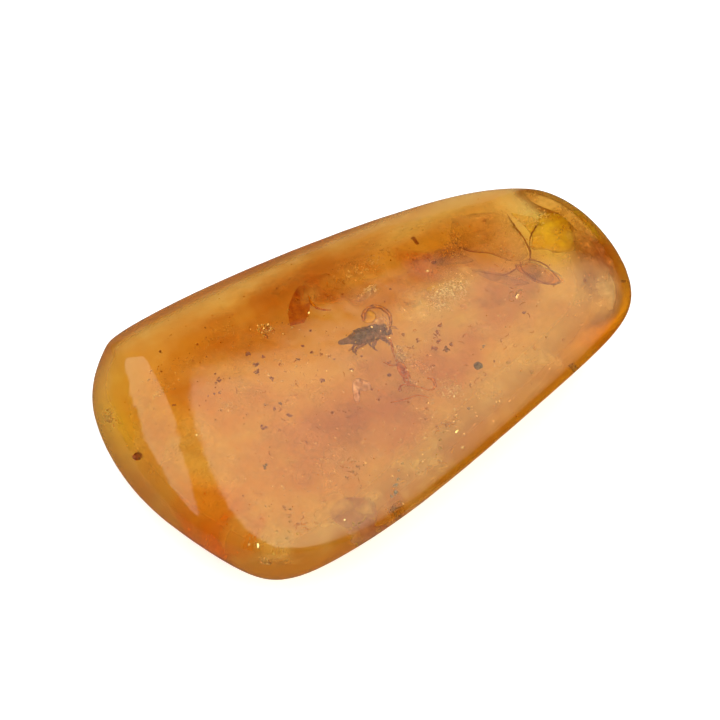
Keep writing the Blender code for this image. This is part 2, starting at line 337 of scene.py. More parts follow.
def turned(form, at=(0, 0, 0), turn=(0, 0, 0), size=1.0):
    """A form scaled, turned by X, Y and Z degrees and moved (mm)."""
    spin = Matrix.Identity(3)
    for angle, axis in zip(turn, "XYZ"):
        spin = Matrix.Rotation(radians(angle), 3, axis) @ spin
    return (np.asarray(form[0], float) * size) @ np.array(spin).T + np.array(at, float), form[1]


def ball(radii, columns=16, rings=10, lumps=0.0, fineness=1.5, seed=0.0):
    """An ellipsoid about the origin, with a lumpy surface where lumps is set."""
    points = []
    for ring in range(1, rings):
        h = pi * (ring / rings - 0.5)
        for i in range(columns):
            t = 2 * pi * i / columns
            points.append((cos(h) * cos(t), cos(h) * sin(t), sin(h)))
    points += [(0, 0, -1), (0, 0, 1)]
    faces = []
    for ring in range(rings - 2):
        for i in range(columns):
            j = (i + 1) % columns
            a, b = ring * columns, (ring + 1) * columns
            faces.append((a + i, a + j, b + j, b + i))
    south, north, last = len(points) - 2, len(points) - 1, (rings - 2) * columns
    for i in range(columns):
        j = (i + 1) % columns
        faces += [(south, j, i), (north, last + i, last + j)]
    shift = Vector((seed, -seed, 2 * seed))
    swell = [1 + lumps * noise.fractal(Vector(p) * fineness + shift, 0.8, 2.0, 3) for p in points]
    return np.array(points) * np.array(swell)[:, None] * np.array(radii), faces


def eased(route, steps):
    """A smooth route through the given points, with steps points to each stretch."""
    points = [np.array(p, float) for p in route]
    ends = [2 * points[0] - points[1]] + points + [2 * points[-1] - points[-2]]
    smooth = []
    for a, b, c, d in zip(ends, ends[1:], ends[2:], ends[3:]):
        for k in range(steps):
            t = k / steps
            smooth.append(0.5 * (2 * b + (c - a) * t + (2 * a - 5 * b + 4 * c - d) * t * t
                                 + (3 * b - a - 3 * c + d) * t ** 3))
    smooth.append(points[-1])
    return smooth


def thread(route, radii, sides=8, steps=5, flat=1.0, rough=0.0, seed=0.0):
    """A closed tube along an eased route, with a radius at each given point."""
    path = eased(route, steps)
    thick = np.interp(np.linspace(0, len(radii) - 1, len(path)), range(len(radii)), radii)
    points, faces = [], []
    for i, point in enumerate(path):
        ahead = Vector(path[min(i + 1, len(path) - 1)] - path[max(i - 1, 0)])
        across = ahead.cross(Vector((0.05, 0.02, 1.0))).normalized()
        up = across.cross(ahead).normalized()
        for k in range(sides):
            t = 2 * pi * k / sides
            spoke = across * cos(t) + up * sin(t) * flat
            swell = 1 + rough * noise.noise(Vector(point) * 3.1 + spoke * 1.3 + Vector((seed, 0, 0)))
            points.append(Vector(point) + spoke * float(thick[i]) * swell)
    for i in range(len(path) - 1):
        for k in range(sides):
            m = (k + 1) % sides
            a, b = i * sides, (i + 1) * sides
            faces.append((a + k, a + m, b + m, b + k))
    faces.append(tuple(reversed(range(sides))))
    faces.append(tuple(range((len(path) - 1) * sides, len(path) * sides)))
    return np.array(points), faces


def plate(outline, thick, bend=0.0, ripple=0.0, rows=5, seed=0.0):
    """A thin closed plate within an outline (x, y), bent and rippled, thinner at its rim."""
    edge = np.array(outline, float)
    centre = edge.mean(axis=0)
    count = len(edge)
    levels = np.linspace(0, 1, rows + 1)[1:]
    flat = [centre] + [centre + (p - centre) * level for level in levels for p in edge]
    level_of = [0.0] + [level for level in levels for _ in edge]
    points = []
    for side in (1, -1):
        for (x, y), level in zip(flat, level_of):
            wave = ripple * noise.noise(Vector((x * 1.7 + seed, y * 1.7, seed)))
            z = bend * (x * x + y * y) + wave + side * thick / 2 * (1 - 0.75 * level ** 4)
            points.append((x, y, z))
    faces = []
    back = len(flat)
    for k in range(count):
        m = (k + 1) % count
        faces += [(0, 1 + k, 1 + m), (back, back + 1 + m, back + 1 + k)]
        for row in range(rows - 1):
            a, b = 1 + row * count, 1 + (row + 1) * count
            faces.append((a + k, b + k, b + m, a + m))
            faces.append((back + a + k, back + a + m, back + b + m, back + b + k))
        a = 1 + (rows - 1) * count
        faces.append((a + k, back + a + k, back + a + m, a + m))
    return np.array(points), faces


def rounded(outline, steps=4):
    """A closed outline eased through its points."""
    loop = [np.array((x, y, 0.0)) for x, y in outline]
    smooth = []
    for i in range(len(loop)):
        a, b, c, d = (loop[(i + k - 1) % len(loop)] for k in range(4))
        for k in range(steps):
            t = k / steps
            p = 0.5 * (2 * b + (c - a) * t + (2 * a - 5 * b + 4 * c - d) * t * t
                       + (3 * b - a - 3 * c + d) * t ** 3)
            smooth.append((p[0], p[1]))
    return smooth


def oval(half_x, half_y, count=28, ragged=0.0, seed=0.0):
    spots = []
    for k in range(count):
        t = 2 * pi * k / count
        r = 1 + ragged * noise.noise(Vector((2 * cos(t) + seed, 2 * sin(t), seed * 0.7)))
        spots.append((half_x * cos(t) * r, half_y * sin(t) * r))
    return spots


# ------------------------------------------------------------------ what shows in the amber
def hollows():
    """Gas bubbles and thin cracks, as voids in the amber."""
    voids = [
        turned(ball((0.5, 0.42, 0.4), 22, 14, 0.35, 2.2, 3.0), (-4.45, 5.85, 0.15)),
        turned(ball((0.26, 0.2, 0.2), 14, 10, 0.3, 2.0, 5.0), (-3.95, 5.35, 0.0)),
        turned(ball((0.2, 0.24, 0.16), 14, 10, 0.3, 2.0, 7.0), (-4.75, 5.15, 0.1)),
        turned(plate(oval(2.0, 0.75, 30, 0.3, 2.0), 0.34, 0.06, 0.1, 6), (16.45, -1.9, 0.2), (14, -8, -64)),
        turned(plate(oval(0.55, 0.3, 20, 0.3, 4.0), 0.12, 0.1, 0.06), (13.75, -2.75, 0.9), (-26, 12, 20)),
    ]
    chance = random.Random(11)
    for _ in range(46):
        x, y, z = chance.uniform(-17, 19), chance.uniform(-11, 8), chance.uniform(-1.5, 2.2)
        r = chance.choice((0.05, 0.06, 0.07, 0.09, 0.13))
        if depth((x * 1.1, y * 1.1, z * 1.25)) < 0.6:
            voids.append(turned(ball((r, r * 0.85, r * 0.8), 10, 7), (x, y, z)))
    return [inside_out(void) for void in voids]


def in_cluster(chance, centre, spread, size, count, lumps=0.5):
    """A loose cluster of small crumbs round a place; spread and size are in mm."""
    crumbs = []
    for _ in range(count):
        at = [c + chance.gauss(0, 0.5) * s for c, s in zip(centre, spread)]
        if depth(at) > 0.86:
            continue
        radii = [size * chance.uniform(0.45, 1.25) for _ in range(3)]
        turn = [chance.uniform(0, 180) for _ in range(3)]
        crumbs.append(turned(ball(radii, 9, 6, lumps, 1.7, chance.uniform(0, 40)), at, turn))
    return crumbs


def insect_frame(form):
    """From the insect's own frame, +X to its head and +Z to its back, to the heart's."""
    return turned(form, INSECT_AT, (INSECT_ROLL, 0, INSECT_YAW))


def abdomen():
    """Seven overlapping rings that taper to the tail."""
    columns, steps, rings = 32, 9, 7
    points, faces = [], []
    for k in range(rings * steps + 1):
        t = k / (rings * steps)
        within = (t * rings) % 1.0
        x = 0.42 - 2.8 * t
        swell = (1 - t) ** 0.27 * (0.74 + 0.5 * sin(pi * min(1.0, t * 1.2 + 0.12)))
        lap = 1 + 0.08 * (1 - within) ** 0.6 - 0.06 * (within > 0.88)
        r = max(0.02, 0.6 * swell * lap)
        for i in range(columns):
            a = 2 * pi * i / columns
            belly = 0.82 if sin(a) < 0 else 1.0
            dimple = 1 + 0.05 * noise.noise(Vector((x * 6, cos(a) * 3, sin(a) * 3)))
            points.append((x, 1.08 * r * cos(a) * dimple, r * sin(a) * belly * dimple + 0.08 * t))
    for k in range(rings * steps):
        for i in range(columns):
            j = (i + 1) % columns
            a, b = k * columns, (k + 1) * columns
            faces.append((a + i, b + i, b + j, a + j))
    faces.append(tuple(range(columns)))
    faces.append(tuple(reversed(range(rings * steps * columns, (rings * steps + 1) * columns))))
    return np.array(points), faces


def insect_body():
    """Trunk, head, eyes and hairs, then the legs and feelers."""
    chance = random.Random(5)
    legs = []
    forms = [
        abdomen(),
        turned(ball((0.66, 0.64, 0.66), 28, 20, 0.2, 1.6, 2.0), (0.5, 0, 0.05)),
        turned(ball((0.5, 0.6, 0.62), 26, 18, 0.16, 1.8, 6.0), (1.02, 0, 0.06)),
        turned(ball((0.2, 0.2, 0.18), 14, 10, 0.1), (1.34, 0, -0.08)),
        turned(ball((0.37, 0.41, 0.37), 26, 18, 0.1, 2.0, 9.0), (1.62, 0, -0.12)),
        thread(((1.8, 0.06, -0.3), (1.94, 0.04, -0.4), (1.97, 0.0, -0.52)), (0.08, 0.06, 0.03)),
        thread(((1.8, -0.06, -0.3), (1.92, -0.06, -0.42), (1.94, -0.03, -0.53)), (0.08, 0.06, 0.03)),
    ]
    for side in (-1, 1):
        forms.append(turned(ball((0.18, 0.14, 0.2), 20, 14, 0.05, 6.0), (1.74, 0.3 * side, -0.05)))
        feeler = [(1.85, 0.13 * side, 0.0), (2.1, 0.27 * side, 0.1), (2.32, 0.3 * side, 0.05),
                  (2.48, 0.4 * side, -0.1)]
        spots = eased(feeler, 4)
        for first, second in zip(spots, spots[1:]):
            way = second - first
            legs.append(thread((first, first + way * 0.5, first + way * 0.92), (0.026, 0.042, 0.022), 6, 2))
        for hip, knee, ankle, toe in LEG_ROUTES:
            hip, knee, ankle, toe = [np.array((x, y * side, z)) for x, y, z in (hip, knee, ankle, toe)]
            legs.append(turned(ball((0.18, 0.15, 0.17), 12, 9, 0.1), hip))
            legs.append(thread((hip, (hip + knee) / 2, knee), (0.14, 0.19, 0.11), 9, 4, 1.0, 0.2))
            legs.append(thread((knee, (knee + ankle) / 2, ankle), (0.095, 0.12, 0.07), 8, 4, 1.0, 0.2))
            for k in range(4):
                a, b = ankle + (toe - ankle) * k / 4, ankle + (toe - ankle) * (k + 0.9) / 4
                legs.append(thread((a, (a + b) / 2, b), (0.045, 0.07, 0.05), 6, 2))
            for k in range(7):
                at = knee + (ankle - knee) * (k + 1) / 8
                out = np.array(Vector([chance.gauss(0, 1) for _ in range(3)]).normalized()) * 0.12
                legs.append(thread((at, at + out * 0.6, at + out), (0.014, 0.009, 0.002), 4, 1))
    for _ in range(130):
        x = chance.uniform(-2.0, 1.3)
        a = chance.uniform(-0.3, pi + 0.3)
        r = 0.54 if x > 0.3 else 0.5 * max(0.1, 1 - (0.42 - x) / 2.8) ** 0.45
        root = np.array((x, 1.03 * r * cos(a), r * sin(a)))
        out = np.array((-0.55, cos(a), sin(a))) * 0.13 * chance.uniform(0.6, 1.2)
        forms.append(thread((root, root + out * 0.6, root + out), (0.012, 0.008, 0.002), 4, 1))
    return insect_frame(joined(*forms)), insect_frame(joined(*legs))


WING_OUTLINE = ((0.1, -0.03), (-0.25, 0.13), (-0.8, 0.25), (-1.4, 0.27), (-1.95, 0.14), (-2.12, -0.06),
                (-1.9, -0.22), (-1.3, -0.26), (-0.7, -0.2), (-0.2, -0.1))
WING_VEINS = (
    ((0.08, -0.02, 0.02), (-0.6, 0.16, 0.03), (-1.3, 0.22, 0.03), (-1.95, 0.1, 0.02)),
    ((0.08, -0.02, 0.02), (-0.7, 0.06, 0.03), (-1.4, 0.06, 0.03), (-2.05, -0.02, 0.02)),
    ((-0.45, 0.03, 0.02), (-0.9, -0.06, 0.03), (-1.5, -0.12, 0.03), (-1.85, -0.18, 0.02)),
    ((0.05, -0.04, 0.02), (-0.5, -0.12, 0.02), (-1.0, -0.2, 0.02)),
    ((-0.95, 0.19, 0.02), (-1.0, 0.07, 0.03), (-0.98, -0.07, 0.02)),
    ((-1.5, 0.18, 0.02), (-1.55, 0.05, 0.03), (-1.5, -0.12, 0.02)),
)


def insect_wings(veins):
    forms = []
    for side in (-1, 1):
        if veins:
            parts = [thread(route, (0.018, 0.014, 0.01), 5, 4) for route in WING_VEINS]
        else:
            parts = [plate(rounded(WING_OUTLINE), 0.03, 0.03, 0.07, 6, 3.0 + side)]
        wing = joined(*parts)
        wing = (wing[0] * np.array((1.0, side, 1.0)), wing[1])
        if side < 0:
            wing = inside_out(wing)
        forms.append(turned(wing, (0.75, 0.22 * side, 0.62), (26 * side, 3, 6 * side), 0.82))
    return insect_frame(joined(*forms))


def haze_sheet(centre, half, tilt, relief, seed, columns=44, rows=34, cover=0.0):
    """A rippled sheet of fine cloud, kept inside the amber. It fades out by its 'cloud' values."""
    points, cloud, keep = [], [], []
    spin = Matrix.Rotation(radians(tilt[2]), 3, "Z") @ Matrix.Rotation(
        radians(tilt[1]), 3, "Y") @ Matrix.Rotation(radians(tilt[0]), 3, "X")
    for j in range(rows + 1):
        for i in range(columns + 1):
            u, v = 2 * i / columns - 1, 2 * j / rows - 1
            wave = noise.fractal(Vector((u * half[0] * 0.25 + seed, v * half[1] * 0.25, seed)), 0.8, 2.0, 3)
            at = Vector(centre) + spin @ Vector((u * half[0], v * half[1], relief * wave))
            spot = 1.7 * noise.fractal(Vector((at.x * 0.3, at.y * 0.3, seed * 1.7)), 0.6, 2.1, 3)
            fade = max(0.0, 1 - (u * u) ** 2) * max(0.0, 1 - (v * v) ** 2)
            deep = min(1.0, max(0.0, (0.9 - depth(at)) / 0.2))
            points.append(tuple(at))
            cloud.append(max(0.0, min(1.0, (spot + 0.3 + cover) * fade)) * deep)
            keep.append(depth(at) < 0.93)
    faces = []
    for j in range(rows):
        for i in range(columns):
            a = j * (columns + 1) + i
            quad = (a, a + 1, a + columns + 2, a + columns + 1)
            if all(keep[k] for k in quad) and max(cloud[k] for k in quad) > 0.02:
                faces.append(quad)
    used = sorted({k for face in faces for k in face})
    place_of = {k: n for n, k in enumerate(used)}
    return ([points[k] for k in used], [tuple(place_of[k] for k in face) for face in faces],
            [cloud[k] for k in used])


def skin_sheet(azimuths, rises, seed, cover=0.4, share=0.94, columns=60, rows=20):
    """A sheet of cloud that follows the nugget's own surface just inside it."""
    points, cloud = [], []
    for j in range(rows + 1):
        for i in range(columns + 1):
            u, v = 2 * i / columns - 1, 2 * j / rows - 1
            way = face_normal(azimuths[0] + (azimuths[1] - azimuths[0]) * i / columns,
                              rises[0] + (rises[1] - rises[0]) * j / rows)
            at = way * reach(way[None])[0] * (share - 0.006 * noise.noise(Vector((i * 0.2, j * 0.2, seed))))
            spot = 1.5 * noise.fractal(Vector(at) * 0.32 + Vector((seed, 0, 0)), 0.6, 2.1, 3)
            fade = max(0.0, 1 - (u * u) ** 2) * max(0.0, 1 - v * v)
            points.append(tuple(at))
            cloud.append(max(0.0, min(1.0, (spot + cover) * fade)))
    faces = []
    for j in range(rows):
        for i in range(columns):
            a = j * (columns + 1) + i
            faces.append((a, a + 1, a + columns + 2, a + columns + 1))
    return points, faces, cloud


def haze_object(name, sheets, finish, slot):
    points, faces, cloud = [], [], []
    for some, around, values in sheets:
        faces += [tuple(i + len(points) for i in face) for face in around]
        points += some
        cloud += values
    made = mesh_object(name, points, faces, finish, slot)
    layer = made.data.attributes.new("cloud", "FLOAT", "POINT")
    layer.data.foreach_set("value", cloud)
    return made


def haze_material(name, pale, warm, most, scale=420.0, metallic=0.85):
    """Fine cloud: thin where the 'cloud' values are low, and mottled."""
    made, tree, shader = new_material(name)
    tone = textured(tree, Scale=scale * 0.5, Detail=4.0, Roughness=0.6)
    link(tree, ramp(tree, tone.outputs["Fac"], (0.35, warm), (0.65, pale)), shader.inputs["Base Color"])
    shader.inputs["Roughness"].default_value = 0.6
    shader.inputs["Metallic"].default_value = metallic
    grain = textured(tree, Scale=scale, Detail=7.0, Roughness=0.68)
    wisps = mapped(tree, grain.outputs["Fac"], 0.36, 0.72, 0.25, 1.0)
    cloud = node(tree, "ShaderNodeAttribute", attribute_name="cloud")
    product = node(tree, "ShaderNodeMath", operation="MULTIPLY")
    link(tree, cloud.outputs["Fac"], product.inputs[0])
    link(tree, wisps, product.inputs[1])
    share = node(tree, "ShaderNodeMath", operation="MULTIPLY")
    share.inputs[1].default_value = most
    link(tree, product.outputs[0], share.inputs[0])
    link(tree, share.outputs[0], shader.inputs["Alpha"])
    return made


def film_material(name, first, second, alpha, roughness=0.3, scale=900.0, metallic=0.0):
    """A thin translucent film, mottled between two colours, its cover varied by noise."""
    made, tree, shader = new_material(name)
    grain = textured(tree, Scale=scale, Detail=6.0, Roughness=0.62)
    link(tree, ramp(tree, grain.outputs["Fac"], (0.34, first), (0.66, second)), shader.inputs["Base Color"])
    link(tree, mapped(tree, grain.outputs["Fac"], 0.3, 0.7, alpha[0], alpha[1]), shader.inputs["Alpha"])
    shader.inputs["Roughness"].default_value = roughness
    shader.inputs["Metallic"].default_value = metallic
    bump(tree, shader, grain.outputs["Fac"], 0.5, 0.00004)
    return made


def raised(form, height):
    """A form brought nearer the polished face, and back as much as the amber then shifts it."""
    return turned(form, (-0.25 * height, -0.36 * height, height))


def leaf(corners, level, thick=0.04, bend=0.03, ripple=0.15, tilt=(0, 0, 0), seed=0.0):
    """A thin crack or flake inside a corner outline given from the heart (mm)."""
    spots = np.array(corners, float)
    centre = spots.mean(axis=0)
    flat = plate(rounded(spots - centre), thick, bend, ripple, 7, seed)
    return turned(flat, (centre[0], centre[1], level), tilt)


def gleaming(flat, at, chance, spread):
    """A small flat form spun at random, then set nearly level so that it catches the light."""
    spun = turned(flat, (0, 0, 0), (0, 0, chance.uniform(0, 180)))
    return turned(spun, at, (chance.gauss(7, spread), chance.gauss(-4.5, spread), 0))


def level_flakes(chance, centre, spread, size, count):
    """A crowd of tiny flat cracks that lie nearly level and gleam."""
    flakes = []
    for _ in range(count):
        at = [c + chance.gauss(0, 0.5) * s for c, s in zip(centre, spread)]
        if depth(at) > 0.86:
            continue
        long = size * chance.uniform(0.5, 1.6)
        flat = plate(oval(long, long * chance.uniform(0.25, 0.7), 9, 0.6, chance.uniform(0, 9)), 0.016, 0.0, 0.0, 2)
        flakes.append(gleaming(flat, at, chance, 10))
    return flakes


def squiggles(chance, centre, spread, size, count, radius=0.028):
    """Little curled hairline cracks lying level, as in crazed resin."""
    curls = []
    for _ in range(count):
        at = [c + chance.gauss(0, 0.5) * s for c, s in zip(centre, spread)]
        if depth(at) > 0.86:
            continue
        way, bend = chance.uniform(0, 360), chance.uniform(-70, 70)
        route, spot = [], np.array((0.0, 0.0, 0.0))
        for k in range(4):
            route.append(tuple(spot))
            step = size * chance.uniform(0.6, 1.3)
            spot = spot + np.array((cos(radians(way)), sin(radians(way)), chance.uniform(-0.15, 0.15))) * step
            way += bend + chance.gauss(0, 25)
        thin = radius * chance.uniform(0.6, 1.4)
        curls.append(turned(thread(route, (thin * 0.3, thin, thin * 0.8, thin * 0.2), 5, 3, 0.7), at))
    return curls


def place_inclusions():
    chance = random.Random(23)
    dark = speckled_material("dark_debris", (0.3, 0.11, 0.05), (0.65, 0.32, 0.2), 0.7, 6000.0, 0.00003)
    rust = speckled_material("rust_debris", (0.5, 0.22, 0.02), (0.85, 0.46, 0.06), 0.6, 5000.0, 0.00003)
    plum = speckled_material("plum_debris", (0.36, 0.17, 0.26), (0.74, 0.44, 0.6), 0.6, 5000.0, 0.00003)
    olive = speckled_material("olive_debris", (0.4, 0.22, 0.03), (0.8, 0.56, 0.12), 0.7, 5000.0, 0.00003)
    slate = speckled_material("slate_debris", (0.3, 0.28, 0.5), (0.66, 0.62, 0.9), 0.6, 5000.0, 0.00003)
    brown = speckled_material("brown_debris", (0.3, 0.11, 0.02), (0.75, 0.4, 0.1), 0.6, 5500.0, 0.00003)
    tawny = film_material("tawny_film", (0.5, 0.2, 0.005), (0.82, 0.42, 0.02), (0.7, 1.0), 0.4, 2500.0, 0.5)
    gold = film_material("gold_film", (1.0, 0.58, 0.03), (1.0, 0.8, 0.1), (0.25, 0.6), 0.5, metallic=0.8)
    bloom = film_material("rose_film", (0.55, 0.24, 0.16), (0.9, 0.6, 0.5), (0.06, 0.4), 0.35, metallic=0.6)
    umber = film_material("umber_film", (0.28, 0.08, 0.02), (0.55, 0.2, 0.05), (0.6, 0.95), 0.4)
    pale = film_material("pale_film", (1.0, 0.64, 0.54), (1.0, 0.82, 0.76), (0.2, 0.75), 0.4, metallic=0.8)
    pearl = film_material("pearl_flakes", (1.0, 0.7, 0.46), (1.0, 0.88, 0.76), (0.6, 1.0), 0.35, metallic=0.9)
    mirror = film_material("spangle", (0.95, 0.86, 0.7), (1.0, 0.98, 0.93), (0.9, 1.0), 0.16, metallic=1.0)

    def add(name, forms, finish, slot="dirt"):
        points, faces = joined(*forms)
        return mesh_object(name, points, faces, finish, slot)

    def specks(name, places, finish):
        crumbs = []
        for x, y, z, size in places:
            crumbs += in_cluster(chance, (x, y, z), (size * 0.7,) * 3, size * 0.55, 5, 0.9)
        add(name, crumbs, finish)

    specks("specks_dark", (
        (-10.12, 3.73, 0, 0.17), (-10.4, 3.6, 0.1, 0.12), (-9.95, 3.95, 0, 0.1), (-1.53, 3.65, 0, 0.13),
        (-4.17, 1.5, 1, 0.1), (-1.03, 8.44, -1, 0.16), (16.38, 5.36, -1, 0.22), (10.62, 6.23, -1, 0.15),
        (18.9, -4.6, 0.6, 0.16), (19.5, -4.3, 0.6, 0.13), (19.7, -4.9, 0.6, 0.1), (19.1, -5.1, 0.5, 0.08),
        (9.97, 3.35, 1.3, 0.2), (8.52, -6.79, 0, 0.1), (14.18, -8.02, 0, 0.09), (-4.7, -3.78, 0, 0.15),
        (-14.7, -6.4, 0.2, 0.1), (-16.2, 5.6, 0.4, 0.09), (-13.2, 7.0, 0.2, 0.1), (2.6, 5.2, 0, 0.1),
        (-12.2, 8.6, 0, 0.09), (5.9, 3.4, 0.3, 0.09), (-0.99, -3.71, 0.2, 0.1), (-4.02, 1.84, 0.2, 0.12),
        (-2.74, 1.79, 0.2, 0.14), (-10.0, 4.4, 0.1, 0.1), (-9.3, 3.4, 0.1, 0.08)), dark)
    specks("specks_plum", (
        (-9.87, -1.92, 0, 0.26), (-10.69, 2.75, 0, 0.13), (-11.1, 2.9, 0, 0.12), (-11.6, 3.0, 0, 0.08),
        (-6.03, 3.68, 0, 0.2), (-7.05, 4.24, 1, 0.22), (-7.55, -2.17, 0, 0.2), (-8.3, -1.2, 0.6, 0.15),
        (-3.0, 2.6, 0.4, 0.14), (-3.6, -0.9, 0.2, 0.22), (-14.3, 3.6, 0.6, 0.12), (-14.6, 1.9, 0.2, 0.12),
        (12.9, -4.6, 1.2, 0.16), (-7.4, 2.6, 0.2, 0.26), (-6.7, 1.4, 0.2, 0.22), (0.9, -3.4, 0.4, 0.2),
        (-1.16, -1.3, 0.2, 0.16), (0.21, -0.71, 0.2, 0.14), (-1.68, 0.22, 0.2, 0.1), (-7.0, 3.2, 0.4, 0.24),
        (3.2, 0.0, 0.9, 0.2), (3.0, 0.25, 0.9, 0.16),
        (2.42, -0.7, 1.5, 0.2), (2.3, -0.45, 1.5, 0.16)), plum)
    specks("specks_slate", (
        (-11.82, -5.05, 0, 0.18), (-8.6, -0.4, 0.4, 0.14), (-5.2, -12.7, 0.2, 0.2), (-4.8, -12.2, 0.4, 0.16),
        (-4.3, -11.9, 0.5, 0.14), (-5.6, -12.9, 0.5, 0.14), (-3.8, -11.3, 0.5, 0.11), (-3.2, -10.9, 0.5, 0.1),
        (4.0, -9.6, 0.8, 0.12), (8.6, -5.2, 0.3, 0.12), (-7.6, -1.0, 0.6, 0.18)), slate)
    specks("specks_rust", (
        (-5.4, 2.29, 0, 0.12), (-2.3, 1.1, 0.5, 0.16), (-1.9, 0.6, 0.4, 0.13), (4.2, -4.55, 0.2, 0.2),
        (5.3, -3.3, 0.3, 0.22), (6.4, -2.2, 0.5, 0.2), (7.0, -1.6, 0.2, 0.2), (4.6, -2.0, 0.6, 0.14),
        (5.9, -2.9, 0.4, 0.2), (6.6, -3.6, 0.3, 0.2), (4.0, -0.9, 0.4, 0.16), (0.74, -5.0, 0.2, 0.2),
        (-1.2, -4.9, 0.4, 0.14), (0.6, -6.3, 0.2, 0.14), (9.1, 4.3, 1.0, 0.2), (9.8, 4.0, 0.8, 0.2),
        (-12.9, -9.2, 0.4, 0.16), (1.5, -7.6, 0.3, 0.14), (0.8, -8.4, 0.3, 0.11), (1.6, -2.3, 0.2, 0.14)), rust)
    specks("specks_olive", (
        (6.0, -3.77, 0.2, 0.28), (6.43, 0.9, 0.5, 0.2), (6.0, 1.3, 0.5, 0.15), (6.9, 1.0, 0.3, 0.14),
        (7.6, 1.1, 0.3, 0.1), (-12.91, -9.96, 0, 0.12), (-13.2, -10.4, 0.1, 0.12), (-13.72, -11.1, 0.1, 0.16),
        (-14.2, -11.5, 0.2, 0.15), (-13.3, -11.6, 0.2, 0.14), (-12.6, -9.5, 0.2, 0.12), (-6.6, -9.2, 0, 0.12),
        (-7.3, -9.4, 0, 0.12), (-6.1, -9.1, 0.1, 0.14), (-5.6, -9.2, 0.1, 0.1), (0.1, -11.2, 0.2, 0.14),
        (0.6, -10.6, 0.2, 0.14), (1.2, -10.2, 0.3, 0.1), (-0.5, -11.6, 0.3, 0.12), (9.2, -7.6, 0.4, 0.14),
        (10.2, -9.3, 0.2, 0.14), (13.2, -7.2, 0.3, 0.12), (-11.6, 1.2, 0.4, 0.12), (19.4, 2.1, 0.2, 0.12),
        (18.6, -0.8, 0.2, 0.1), (17.5, 2.9, 0.5, 0.12)), olive)
    add("edge_speck", in_cluster(chance, (12.7, -11.25, 1.75), (0.3, 0.2, 0.2), 0.15, 12, 0.8), brown)

    # dust through the whole nugget
    for name, finish, count, size in (("dust_dark", dark, 130, 0.035), ("dust_rust", rust, 190, 0.05)):
        crumbs = []
        while len(crumbs) < count:
            at = (chance.uniform(-19, 21), chance.uniform(-14, 12), chance.uniform(-1.5, 2.6))
            if depth([c * 1.06 for c in at]) < 0.8:
                radii = [size * chance.uniform(0.5, 1.6) for _ in range(3)]
                turn = [chance.uniform(0, 180) for _ in range(3)]
                crumbs.append(turned(ball(radii, 7, 5, 0.6, 1.7, chance.uniform(0, 30)), at, turn))
        add(name, crumbs, finish)

    # crowds of tiny cracks, in crumbly pale patches near the polished face
    crowds, curls = [], []
    for centre, spread, count in (((8.3, -0.5, 2.5), (1.7, 1.1, 0.3), 150), ((3.8, -7.6, 2.1), (1.0, 1.1, 0.3), 120),
                                  ((9.9, 0.4, 1.9), (1.2, 0.9, 0.4), 70), ((2.4, -4.8, 2.2), (1.4, 1.6, 0.3), 70),
                                  ((-14.4, 5.0, 1.2), (0.9, 0.4, 0.3), 30), ((-18.2, 7.0, -0.9), (0.5, 1.1, 0.4), 50),
                                  ((5.9, 6.2, 1.2), (3.0, 0.8, 0.4), 80), ((-8.1, 7.2, 1.0), (2.2, 0.9, 0.3), 40),
                                  ((-16.4, -12.0, 0.9), (0.5, 0.35, 0.2), 20), ((-12.5, 6.5, 0.6), (3.0, 1.0, 0.4), 40),
                                  ((18.9, 2.4, 1.2), (1.4, 0.8, 0.4), 60), ((17.2, -6.0, 1.4), (2.4, 2.0, 0.5), 40),
                                  ((-11.4, 0.9, 1.6), (0.6, 0.8, 0.3), 24), ((-9.0, -8.0, 1.6), (5.0, 4.0, 0.4), 80),
                                  ((0.0, -9.4, 1.5), (6.0, 2.6, 0.4), 80), ((-6.0, 0.5, 2.0), (5.0, 3.0, 0.4), 60),
                                  ((-4.9, 5.1, 2.2), (0.6, 0.6, 0.2), 40), ((2.2, -3.2, 2.5), (0.6, 0.9, 0.2), 110),
                                  ((3.8, 3.5, 2.3), (1.2, 0.5, 0.2), 40), ((11.8, 3.4, 1.9), (0.8, 0.8, 0.3), 90),
                                  ((12.6, 4.6, 1.8), (0.5, 0.9, 0.3), 50)):
        crowds += level_flakes(chance, centre, spread, 0.085, count)
        curls += squiggles(chance, centre, spread, 0.15, count // 3)
    add("pale_crumbs", crowds, pearl, "clear_amber")
    add("pale_crazing", curls, pearl, "clear_amber")

    # golden-brown curls
    curls = []
    for centre, spread, count in (((6.3, 0.6, 1.5), (0.9, 0.6, 0.2), 12), ((8.1, -3.0, 0.2), (0.8, 0.7, 0.2), 3),
                                  ((6.1, -2.4, 0.2), (0.5, 0.5, 0.2), 3), ((4.1, -2.0, 0.2), (0.5, 0.5, 0.2), 3),
                                  ((-6.7, -9.1, 0.2), (0.6, 1.0, 0.2), 9), ((-12.6, -11.2, 0.2), (0.9, 1.3, 0.2), 14),
                                  ((1.6, -10.0, 0.4), (1.4, 0.5, 0.2), 10), ((6.5, -7.6, 0.4), (0.7, 0.7, 0.2), 5),
                                  ((-1.8, -12.6, 0.9), (3.2, 0.5, 0.2), 16), ((10.8, -6.4, 0.6), (1.2, 1.4, 0.2), 6),
                                  ((4.6, -3.2, 0.4), (2.6, 2.4, 0.4), 8), ((2.6, 6.4, 0.2), (3.0, 1.0, 0.4), 10),
                                  ((-6.0, -2.0, 0.4), (6.0, 4.0, 0.6), 16), ((14.8, -1.0, 0.6), (3.0, 2.6, 0.5), 22)):
        curls += squiggles(chance, centre, spread, 0.2, count, 0.05)
    add("tawny_curls", curls, tawny, "dirt")

